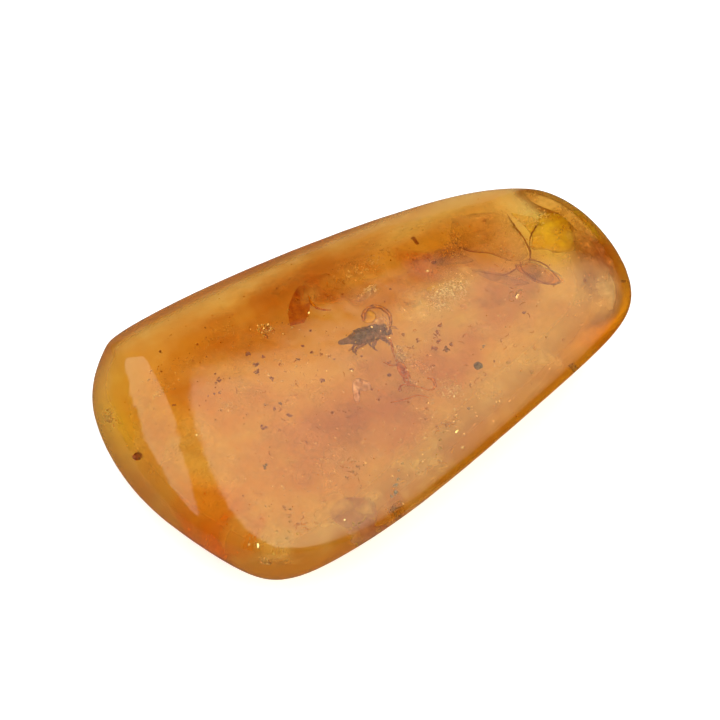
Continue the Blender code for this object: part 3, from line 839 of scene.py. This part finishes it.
    # sparkling flecks that catch the light
    flecks = []
    for x, y, z, size in ((-5.04, 5.02, 2.65, 0.12), (-5.23, 5.55, 2.61, 0.1), (-5.39, 4.77, 2.66, 0.09),
                          (-4.55, 5.17, 2.65, 0.13), (-4.78, 4.57, 2.68, 0.08), (-4.93, 5.45, 2.62, 0.1),
                          (14.11, 3.01, 2.6, 0.13), (8.7, 2.34, 2.75, 0.14), (2.4, -1.4, 2.75, 0.1),
                          (1.87, 0.26, 2.75, 0.11), (2.22, -0.45, 2.75, 0.08), (1.5, -0.8, 2.75, 0.07),
                          (0.0, -0.24, 2.75, 0.07), (0.06, -1.1, 2.75, 0.08), (-1.3, 4.27, 2.7, 0.12),
                          (16.1, -2.81, 2.5, 0.07), (13.0, -3.6, 2.5, 0.2), (13.2, -3.5, 2.5, 0.13),
                          (19.85, -5.65, 2.2, 0.1), (16.24, -4.87, 2.4, 0.06), (9.74, -1.84, 2.7, 0.07),
                          (-5.01, -1.49, 2.75, 0.08), (-2.85, 3.26, 2.7, 0.06), (-12.09, 0.42, 2.6, 0.07),
                          (-14.97, -0.44, 2.4, 0.1), (-10.2, -13.34, 2.1, 0.11), (-16.6, -11.2, 1.7, 0.14),
                          (2.9, 6.92, 2.2, 0.06), (0.14, -5.94, 2.5, 0.07), (-1.81, -11.74, 2.2, 0.08),
                          (-3.53, -3.66, 2.7, 0.07), (1.85, -11.05, 1.2, 0.2), (-1.87, -2.37, 2.75, 0.1),
                          (-16.46, -12.3, 0.9, 0.3)):
        flat = plate(oval(size, size * chance.uniform(0.35, 0.7), 14, 0.5, chance.uniform(0, 9)), 0.02, 0.0, 0.03, 3)
        flecks.append(gleaming(flat, (x, y, z), chance, 4))
    for _ in range(190):
        at = (chance.uniform(-15, 15), chance.uniform(-12, 7), chance.uniform(1.4, 2.8))
        if depth([c * 1.05 for c in at]) < 0.86:
            size = chance.choice((0.03, 0.03, 0.04, 0.06))
            flat = plate(oval(size * 1.5, size * 0.7, 8, 0.4, chance.uniform(0, 9)), 0.012, rows=2)
            flecks.append(gleaming(flat, at, chance, 8))
    add("spangles", flecks, mirror, "clear_amber")

    # the curled thread round a gold fleck, above the insect
    loop = ((2.4, 2.08, 0.1), (2.62, 2.46, 0.15), (3.1, 2.8, 0.2), (3.78, 2.82, 0.15), (4.23, 2.38, 0.1),
            (4.39, 1.67, 0.1), (4.07, 0.82, 0.15), (3.6, 0.35, 0.2))
    inner = ((3.38, 0.99, 2.3), (3.3, 0.32, 2.3), (3.0, -0.35, 2.3), (2.6, -0.7, 2.3))
    honey = film_material("honey_thread", (0.5, 0.2, 0.002), (0.85, 0.42, 0.01), (0.8, 1.0), 0.4, 2500.0, 0.7)
    shred = film_material("amber_shred", (0.66, 0.2, 0.0), (0.95, 0.42, 0.002), (0.8, 1.0), 0.5, 2500.0, 0.8)
    add("curled_thread", [raised(thread(loop, (0.07, 0.15, 0.14, 0.18, 0.14, 0.17, 0.12, 0.07), 9, 5, 0.8, 0.8), 2.1)],
        honey, "dry_stem")
    add("curled_thread_gleam", [thread(inner, (0.02, 0.08, 0.06, 0.09, 0.02), 7, 5, 0.4, 1.2)], pale, "dry_stem")
    add("gold_fleck", [leaf(((2.2, 2.05), (2.95, 1.95), (3.0, 1.2), (2.35, 0.9), (1.85, 1.4)), 1.9, 0.05, 0.03, 0.1,
                            (7, -4, 0)),
                       leaf(((8.0, 1.6), (8.8, 1.5), (8.9, 1.0), (8.1, 1.0)), 0.9, 0.05, 0.03, 0.1, (7, -4, 0))],
        film_material("gold_fleck", (0.86, 0.54, 0.0), (0.95, 0.64, 0.0), (0.9, 1.0), 0.5, metallic=0.8), "clear_amber")

    # rusty threads and shreds to the right of and below the insect
    add("rusty_threads", [raised(form, 2.1) for form in (
        thread(((3.13, -0.22, 0.15), (2.81, -1.05, 0.15), (2.37, -1.92, 0.15), (2.23, -2.64, 0.15),
                (2.17, -3.52, 0.15)), (0.05, 0.09, 0.06, 0.1, 0.06), 7, 5, 0.8, 0.9),
        leaf(((2.0, -2.83), (2.44, -3.01), (2.38, -3.9), (2.12, -4.53), (1.73, -4.27), (1.74, -3.47)), 0.1, 0.14,
             0.05, 0.3),
        thread(((0.74, -5.0, 0.15), (1.21, -4.74, 0.15), (1.66, -5.04, 0.15), (2.19, -5.63, 0.15),
                (2.67, -6.3, 0.15), (3.22, -6.33, 0.15), (3.48, -5.69, 0.15), (3.21, -5.27, 0.15)),
               (0.1, 0.07, 0.04, 0.06, 0.05, 0.09, 0.13, 0.06), 7, 5, 0.8, 0.8),
        thread(((1.3, -2.1, 0.15), (1.56, -2.65, 0.15), (1.95, -2.91, 0.15), (2.38, -2.97, 0.15)),
               (0.04, 0.07, 0.06, 0.03), 6, 5, 0.8, 0.8),
        thread(((-0.5, -5.6, 0.2), (0.4, -6.0, 0.3), (1.6, -6.2, 0.2), (2.2, -6.9, 0.2)), (0.03, 0.06, 0.06, 0.03), 6,
               5, 1.0, 0.8),
        thread(((0.27, 6.59, 0.25), (0.05, 5.81, 0.25), (0.1, 5.22, 0.25), (0.45, 4.7, 0.25), (0.9, 4.35, 0.25)),
               (0.04, 0.11, 0.09, 0.08, 0.04), 6, 5, 1.0, 0.6),
    )], shred, "dry_stem")

    bluish = film_material("bluish_film", (0.22, 0.17, 0.36), (0.42, 0.36, 0.68), (0.4, 0.85), 0.35, 1800.0, 0.7)
    add("insect_bloom", [
        leaf(((2.0, 1.1), (2.7, 1.0), (3.3, 0.6), (3.25, 0.3), (2.6, 0.4), (1.9, 0.75)), 0.95, 0.03, 0.06, 0.2,
             (7, -4, 0), 2.0),
        leaf(((0.4, 0.9), (1.2, 1.0), (1.7, 0.7), (1.0, 0.45)), 0.95, 0.03, 0.06, 0.2, (7, -4, 0), 6.0)], bluish,
        "insect_body")

    # pale flakes near the face under the insect, and the chain of specks below it
    add("pale_flakes", [
        leaf(((-2.3, -3.11), (-1.61, -3.34), (-1.31, -4.11), (-1.76, -4.49), (-2.29, -4.03), (-2.87, -4.32),
              (-2.93, -4.95), (-3.21, -4.55)), 2.3, 0.05, 0.08, 0.3, (8, -4, 0), 5.0),
        leaf(((2.5, -2.2), (2.7, -2.6), (2.5, -3.3), (2.0, -3.9), (1.9, -3.3), (2.2, -2.7)), 2.3, 0.04, 0.05, 0.4,
             (6, -4, 0), 8.0),
        leaf(((2.5, 3.3), (3.3, 3.5), (4.6, 3.8), (4.4, 3.4), (3.4, 3.1)), 2.0, 0.04, 0.05, 0.4, (7, -4, 0), 2.0),
        leaf(((2.5, 0.9), (3.1, 0.8), (3.1, 0.3), (2.6, 0.3)), 2.3, 0.04, 0.03, 0.3, (7, -4, 0), 4.0)],
        pale, "clear_amber")
    chain = []
    for k in range(20):
        t = k / 19
        at = (-4.7 + 2.6 * t, -3.78 - 1.2 * t + 0.2 * sin(9 * t), 0.1 * sin(20 * t))
        chain += in_cluster(chance, at, (0.2, 0.16, 0.1), (0.1 - 0.04 * t) * chance.uniform(0.2, 1.2), 1, 0.7)
    add("speck_chain", chain, brown, "dirt")

    # debris and dusky facets by the front edge
    add("edge_debris", in_cluster(chance, (-6.3, -14.3, 1.5), (0.55, 0.3, 0.2), 0.085, 26, 0.9), brown)
    add("edge_crumbs", in_cluster(chance, (-8.9, -13.9, 1.0), (0.9, 0.5, 0.3), 0.07, 30, 0.8), olive)
    dusky = film_material("dusky_film", (0.6, 0.25, 0.2), (0.78, 0.38, 0.33), (0.5, 0.8), 0.35, 500.0)
    add("edge_facet", [
        leaf(((-10.28, -11.55), (-9.14, -11.1), (-7.97, -11.55), (-7.07, -12.38), (-7.39, -13.47), (-8.19, -14.1),
              (-9.28, -14.05), (-10.23, -13.31), (-10.61, -12.42)), 0.6, 0.04, 0.02, 0.1, (3, 2, 0), 2.0),
        leaf(((-10.5, -14.0), (-9.0, -13.9), (-7.8, -13.7), (-8.4, -14.5), (-9.8, -14.5)), 1.2, 0.04, 0.02, 0.1,
             (3, 2, 0), 3.0)], dusky, "clear_amber")

    # the fractures at the narrow end
    add("fracture_gold", [
        leaf(((18.1, 4.2), (18.75, 3.6), (19.35, 3.05), (19.5, 2.6), (20.4, 2.8), (21.2, 2.1), (21.5, 1.3),
              (21.2, 0.4), (20.7, -0.5), (20.2, -1.4), (19.0, -1.1), (18.22, -0.16), (17.37, 0.42), (18.09, 1.4),
              (18.24, 2.55)), 0.2, 0.04, 0.01, 0.2, (5, 0, 0), 1.0)], gold, "clear_amber")
    add("fracture_veil", [
        leaf(((13.42, 5.6), (15.0, 5.6), (16.54, 5.3), (17.6, 4.3), (17.5, 2.53), (16.77, 0.1), (15.3, 0.26),
              (14.34, 1.88), (13.17, 2.92), (12.48, 4.38)), 0.3, 0.03, 0.03, 0.35, (6, -3, 0), 6.0),
        leaf(((11.95, 1.25), (12.81, 0.5), (13.67, -0.35), (14.62, -1.7), (15.04, -2.5), (13.95, -2.0),
              (12.88, -0.8), (12.25, 0.33)), 0.9, 0.03, 0.03, 0.15, (8, -4, 0), 7.0),
        leaf(((10.2, 3.2), (11.6, 2.4), (12.9, 2.0), (12.2, 3.4), (10.9, 4.4)), 0.5, 0.03, 0.04, 0.2, (10, 4, 0), 9.0),
        leaf(((15.9, -0.3), (16.5, -0.6), (17.0, -1.6), (17.1, -2.8), (16.4, -3.0), (15.9, -2.1), (15.6, -1.1)), 0.5,
             0.03, 0.06, 0.2, (12, -6, 0), 4.0)], bloom, "clear_amber")
    add("fracture_lines", [
        thread(((17.82, 4.38, 0.5), (17.55, 2.81, 0.5), (17.41, 1.41, 0.5), (17.02, 0.2, 0.5), (16.43, -0.61, 0.4)),
               (0.03, 0.08, 0.07, 0.09, 0.04), 6, 5, 0.5, 0.8),
        thread(((19.98, 2.77, 0.3), (19.11, 2.11, 0.3), (18.1, 1.54, 0.35), (17.19, 0.43, 0.4)),
               (0.03, 0.07, 0.06, 0.03), 6, 5, 0.5, 0.8),
        thread(((12.0, 1.3, 0.6), (12.9, 0.4, 0.6), (13.8, -0.5, 0.6), (14.8, -0.6, 0.5), (15.8, -0.4, 0.4)),
               (0.02, 0.06, 0.05, 0.07, 0.03), 6, 5, 0.5, 0.8),
        thread(((12.5, 4.3, 0.4), (13.2, 2.9, 0.4), (14.4, 1.8, 0.4), (15.3, 0.3, 0.4)), (0.02, 0.05, 0.04, 0.02), 6,
               5, 0.5, 0.8),
        thread(((15.85, -0.06, 0.4), (15.5, -1.0, 0.4), (15.8, -2.2, 0.4), (16.5, -3.3, 0.4), (17.25, -3.6, 0.4)),
               (0.03, 0.09, 0.08, 0.09, 0.04), 6, 5, 0.5, 0.8),
        thread(((16.4, -0.2, 0.4), (17.2, -1.3, 0.4), (17.4, -2.8, 0.4), (17.25, -3.6, 0.4)), (0.04, 0.08, 0.09, 0.04),
               6, 5, 0.5, 0.8),
    ], umber, "clear_amber")
    sheen = film_material("end_sheen", (0.85, 0.45, 0.14), (0.95, 0.62, 0.28), (0.15, 0.65), 0.5, 500.0, 0.85)
    add("end_sheen", [
        leaf(((19.87, 5.1), (20.8, 4.05), (21.5, 2.85), (21.95, 1.3), (22.1, -0.6), (21.9, -2.3), (21.3, -1.8),
              (21.15, 0.0), (20.95, 1.6), (20.4, 2.75), (19.85, 3.9)), 1.55, 0.03, 0.01, 0.1, (3, 2, 0), 5.0)], sheen,
        "clear_amber")
    copper = film_material("copper_film", (0.6, 0.2, 0.04), (0.95, 0.52, 0.2), (0.05, 0.5), 0.4, 1400.0, 0.5)
    add("end_cracks", [
        leaf(((21.3, 0.1), (21.75, -1.1), (21.8, -2.3), (21.5, -3.7), (20.75, -3.8), (20.3, -2.7), (20.3, -1.3)), 1.9,
             0.03, 0.02, 0.3, (8, 12, 0), 1.0),
        leaf(((21.5, -1.6), (21.75, -2.84), (21.6, -4.3), (21.35, -5.2), (21.0, -4.7), (21.1, -3.2)), 1.95, 0.03, 0.01,
             0.2, (4, 16, 0), 2.0),
        leaf(((20.9, -3.2), (21.25, -4.3), (21.2, -5.6), (20.8, -5.8), (20.4, -4.6)), 1.6, 0.03, 0.01, 0.15,
             (2, 14, 0), 3.0)], copper, "clear_amber")

    # clouds
    rosy = haze_material("rosy_haze", (0.98, 0.7, 0.6), (0.9, 0.46, 0.32), 0.6)
    creamy = haze_material("creamy_haze", (1.0, 0.8, 0.56), (1.0, 0.66, 0.3), 0.6)
    ember = haze_material("ember_haze", (1.0, 0.4, 0.02), (0.8, 0.18, 0.005), 0.75, metallic=0.3)
    smoky = haze_material("smoky_haze", (0.72, 0.36, 0.22), (0.5, 0.2, 0.08), 0.7, metallic=0.3)
    haze_object("ember_clouds", [
        haze_sheet((9.1, 3.9, 0.2), (2.1, 1.7), (0, 0, -35), 0.3, 1.0, 24, 18, 0.9),
        haze_sheet((9.6, 3.6, 0.5), (1.2, 0.9), (0, 0, 20), 0.2, 4.0, 18, 14, 0.9),
        haze_sheet((-17.9, -6.2, -0.6), (0.9, 3.2), (0, 0, 6), 0.3, 8.0, 16, 28, 0.6),
        haze_sheet((-16.4, -8.6, 0.4), (2.2, 1.8), (0, 0, 30), 0.3, 12.0, 20, 20, 0.4),
        haze_sheet((3.4, 5.9, 0.0), (3.4, 1.6), (0, 0, -20), 0.3, 15.0, 30, 18, 0.3)], ember, "clear_amber")
    haze_object("smoky_clouds", [
        haze_sheet((3.8, 5.0, 0.2), (1.5, 1.6), (0, 0, 10), 0.3, 2.0, 20, 20, 0.8),
        haze_sheet((1.7, 6.3, 0.1), (2.0, 1.3), (0, 0, -40), 0.3, 5.0, 22, 16, 0.7),
        haze_sheet((11.6, 3.0, 0.3), (1.6, 1.8), (0, 0, 0), 0.3, 7.0, 20, 20, 0.6),
        haze_sheet((2.6, -5.9, 0.2), (2.9, 2.8), (0, 0, 0), 0.3, 9.0, 28, 26, 0.35),
        haze_sheet((-5.5, -5.4, 0.3), (3.2, 2.2), (0, 0, 20), 0.3, 13.0, 28, 20, 0.3),
        haze_sheet((13.2, -1.6, 0.4), (3.2, 1.6), (0, 0, -20), 0.3, 16.0, 28, 18, 0.35)], smoky, "clear_amber")
    haze_object("rosy_clouds", [
        haze_sheet((-2.0, -4.5, 1.2), (9, 5.5), (6, 3, 12), 0.7, 1.0),
        haze_sheet((11.5, -3.0, 1.5), (7, 4), (-3, 4, -8), 0.6, 4.0),
        haze_sheet((-10.0, -6.0, 0.8), (7, 6), (4, -4, 30), 0.8, 7.0),
        haze_sheet((12.0, 2.0, 1.4), (6, 3.4), (4, -4, -20), 0.6, 11.0),
    ], rosy, "clear_amber")
    haze_object("creamy_clouds", [
        haze_sheet((0.0, -11.6, 1.2), (9, 2.6), (-5, 1, 14), 0.5, 2.0, cover=0.35),
        haze_sheet((-12.0, -12.0, 1.1), (6, 3.0), (-6, -3, -24), 0.5, 15.0, cover=0.3),
        haze_sheet((8.0, 0.4, 1.9), (4.5, 2.6), (4, -3, -6), 0.4, 5.0, cover=0.25),
        haze_sheet((-9.0, 1.0, 0.6), (9, 6), (-4, 5, 5), 0.8, 8.0),
        haze_sheet((11.0, -8.6, 1.1), (8, 2.8), (4, 3, 12), 0.5, 9.0, cover=0.12),
        haze_sheet((-16.6, 0.0, 0.6), (3.4, 7.5), (5, -16, 10), 0.5, 3.0, cover=0.1),
        haze_sheet((19.5, -4.0, 1.5), (2.8, 5.0), (-4, 10, 6), 0.4, 13.0, cover=0.5),
        haze_sheet((16.6, 4.4, 1.5), (4.0, 1.6), (10, 5, -16), 0.4, 19.0, cover=0.2),
        skin_sheet((-35, -6), (0.5, 11.0), 5.0, 0.6),
        haze_sheet((4.0, 7.0, 0.8), (14, 2.4), (12, 0, -10), 0.5, 17.0),
        haze_sheet((-16.0, -9.6, 0.2), (3.4, 4.0), (-10, -20, -30), 0.4, 21.0, cover=0.2),
    ], creamy, "clear_amber")


AMBER = amber_material()
verts, faces = joined(amber_mesh(), *hollows())
amber = mesh_object("amber", verts, faces, AMBER, "clear_amber")
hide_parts("amber_lower", "amber_upper")

trunk, legs = insect_body()
insect = mesh_object("insect_body", *trunk, speckled_material(
    "chitin", (0.19, 0.13, 0.28), (0.52, 0.36, 0.66), 0.45, 3000.0, 0.00004), "insect_body")
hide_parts("insect")
mesh_object("insect_legs", *legs, speckled_material(
    "leg_chitin", (0.26, 0.12, 0.22), (0.66, 0.4, 0.62), 0.45, 4200.0, 0.00003), "insect_body")
verts, faces = insect_wings(veins=False)
mesh_object("insect_wings", verts, faces, film_material(
    "wing_film", (0.3, 0.22, 0.42), (0.6, 0.46, 0.8), (0.35, 0.8), 0.3, 2600.0, 0.5), "insect_body")
verts, faces = insect_wings(veins=True)
mesh_object("insect_wing_veins", verts, faces, speckled_material(
    "vein", (0.03, 0.02, 0.02), (0.12, 0.08, 0.07), 0.4, 5200.0, 0.00002), "insect_body")
place_inclusions()

finishes = {
    "insect": speckled_material("insect_shell", (0.05, 0.034, 0.028), (0.2, 0.15, 0.13), 0.45, 5200.0, 0.00003),
    "bark_flake": speckled_material("red_bark", (0.5, 0.12, 0.005), (0.82, 0.34, 0.03), 0.6, 2200.0, 0.00004),
    "plant_shred": speckled_material("dry_stem", (0.62, 0.2, 0.015), (0.95, 0.46, 0.07), 0.6, 4200.0, 0.00003),
    "dirt_grain": speckled_material("dirt", (0.09, 0.085, 0.11), (0.34, 0.33, 0.42), 0.8, 5000.0, 0.00003),
    "seed": speckled_material("husk", (0.1, 0.02, 0.006), (0.5, 0.13, 0.04), 0.45, 3200.0, 0.00002),
}
for name, finish in finishes.items():
    slots = NODES[name].data.materials
    slots.clear()
    slots.append(finish)


# ------------------------------------------------------------------ stage, light and camera
def mirrored_ray(tree):
    """One for what shows as a reflection in a surface, nought for everything else."""
    path = node(tree, "ShaderNodeLightPath")
    both = node(tree, "ShaderNodeMath", operation="MULTIPLY")
    link(tree, path.outputs["Is Reflection Ray"], both.inputs[0])
    link(tree, path.outputs["Is Glossy Ray"], both.inputs[1])
    return both.outputs[0]


def stage_and_light():
    floor_mesh = bpy.data.meshes.new("floor")
    half, level = 0.6, -0.00004
    floor_mesh.from_pydata([(-half, -half, level), (half, -half, level), (half, half, level),
                            (-half, half, level)], [], [(0, 1, 2, 3)])
    floor = bpy.data.objects.new("floor", floor_mesh)
    bpy.context.scene.collection.objects.link(floor)
    paper, tree, shader = new_material("floor_paper")
    shader.inputs["Base Color"].default_value = (0.92, 0.92, 0.92, 1.0)
    shader.inputs["Roughness"].default_value = 1.0
    shader.inputs["Specular IOR Level"].default_value = 0.0
    shader.inputs["Emission Color"].default_value = (1.0, 1.0, 1.0, 1.0)
    path = node(tree, "ShaderNodeLightPath")
    link(tree, mapped(tree, path.outputs["Is Camera Ray"], 0.0, 1.0, 0.3, 0.5), shader.inputs["Emission Strength"])
    # In reflections the floor shows as a dim warm grey: painted shade, for the floor shaded by the nugget around it.
    dim = node(tree, "ShaderNodeBsdfDiffuse")
    dim.inputs["Color"].default_value = (0.2, 0.18, 0.16, 1.0)
    mix = node(tree, "ShaderNodeMixShader")
    link(tree, mirrored_ray(tree), mix.inputs[0])
    link(tree, shader.outputs[0], mix.inputs[1])
    link(tree, dim.outputs[0], mix.inputs[2])
    link(tree, mix.outputs[0], tree.nodes["Material Output"].inputs["Surface"])
    floor_mesh.materials.append(paper)

    world = bpy.data.worlds.new("studio")
    bpy.context.scene.world = world
    world.use_nodes = True
    tree = world.node_tree
    tree.nodes.clear()
    out = node(tree, "ShaderNodeOutputWorld")
    bright = node(tree, "ShaderNodeBackground")
    bright.inputs["Color"].default_value = (1.0, 1.0, 1.0, 1.0)
    bright.inputs["Strength"].default_value = 1.2
    dark = node(tree, "ShaderNodeBackground")
    dark.inputs["Color"].default_value = (1.0, 1.0, 1.0, 1.0)
    dark.inputs["Strength"].default_value = 0.02
    mix = node(tree, "ShaderNodeMixShader")
    link(tree, mirrored_ray(tree), mix.inputs[0])
    link(tree, bright.outputs[0], mix.inputs[1])
    link(tree, dark.outputs[0], mix.inputs[2])
    link(tree, mix.outputs[0], out.inputs["Surface"])

    softbox("softbox_key", 51.9, 79.6, (-0.33, 0.2, -0.64, 0.544), 2.2, ((0.42, 0.03), (0.13, 0.02)))
    softbox("softbox_side", 114.8, 32.9, (-0.483, 0.483, -0.27, 0.27), 1.75, ((0.03, 0.03), (0.05, 0.05)), -31.5)


def softbox(name, azimuth, rise, sides, radiance, soft=((0, 0), (0, 0)), spin=0.0, distance=0.8):
    """A rectangular light seen from the nugget at a direction.

    sides gives its left, right, lower and upper sides as tangents about that direction, and soft the
    share of its width and of its height over which it fades out at either end.
    """
    way = Vector(face_normal(azimuth, rise))
    side = Vector((-sin(radians(azimuth)), cos(radians(azimuth)), 0.0))
    side = Matrix.Rotation(radians(spin), 3, way) @ side
    up = way.cross(side)
    left, right, lower, upper = sides
    light = bpy.data.lights.new(name, "AREA")
    light.shape = "RECTANGLE"
    light.size = (right - left) * distance
    light.size_y = (upper - lower) * distance
    light.energy = radiance * pi * light.size * light.size_y
    light.color = (1.0, 0.96, 0.79)
    light.use_nodes = True
    tree = light.node_tree
    glow = tree.nodes["Emission"]
    across = node(tree, "ShaderNodeNewGeometry").outputs["Parametric"]
    split = node(tree, "ShaderNodeSeparateXYZ")
    link(tree, across, split.inputs[0])
    steps = []
    for place, (first, last) in zip(split.outputs[:2], soft):
        if first:
            steps.append(mapped(tree, place, 0.0, first, 0.0, 1.0))
        if last:
            steps.append(mapped(tree, place, 1.0, 1.0 - last, 0.0, 1.0))
    for step in steps[1:]:
        both = node(tree, "ShaderNodeMath", operation="MULTIPLY")
        link(tree, steps[0], both.inputs[0])
        link(tree, step, both.inputs[1])
        steps[0] = both.outputs[0]
    if steps:
        link(tree, steps[0], glow.inputs["Strength"])
    lamp = bpy.data.objects.new(name, light)
    lamp.visible_diffuse = False
    bpy.context.scene.collection.objects.link(lamp)
    centre = way + side * ((left + right) / 2) + up * ((lower + upper) / 2)
    lamp.matrix_world = Matrix.Translation(centre * distance) @ Matrix((side, up, way)).transposed().to_4x4()
    return lamp


def camera():
    azimuth, rise, away = radians(-35.0), radians(52.0), 0.4
    back = Vector((cos(rise) * sin(azimuth), -cos(rise) * cos(azimuth), sin(rise)))
    right = Vector((cos(azimuth), sin(azimuth), 0.0))
    target = (HEART + Vector((0.63, 0.08, 0.0))) * MM
    data = bpy.data.cameras.new("camera")
    data.lens = 256.0
    data.sensor_width = 36.0
    data.clip_start = 0.01
    made = bpy.data.objects.new("camera", data)
    bpy.context.scene.collection.objects.link(made)
    made.matrix_world = Matrix.Translation(target + back * away) @ Matrix(
        (right, back.cross(right), back)).transposed().to_4x4()
    bpy.context.scene.camera = made


stage_and_light()
camera()
bpy.context.scene.view_settings.view_transform = "Standard"
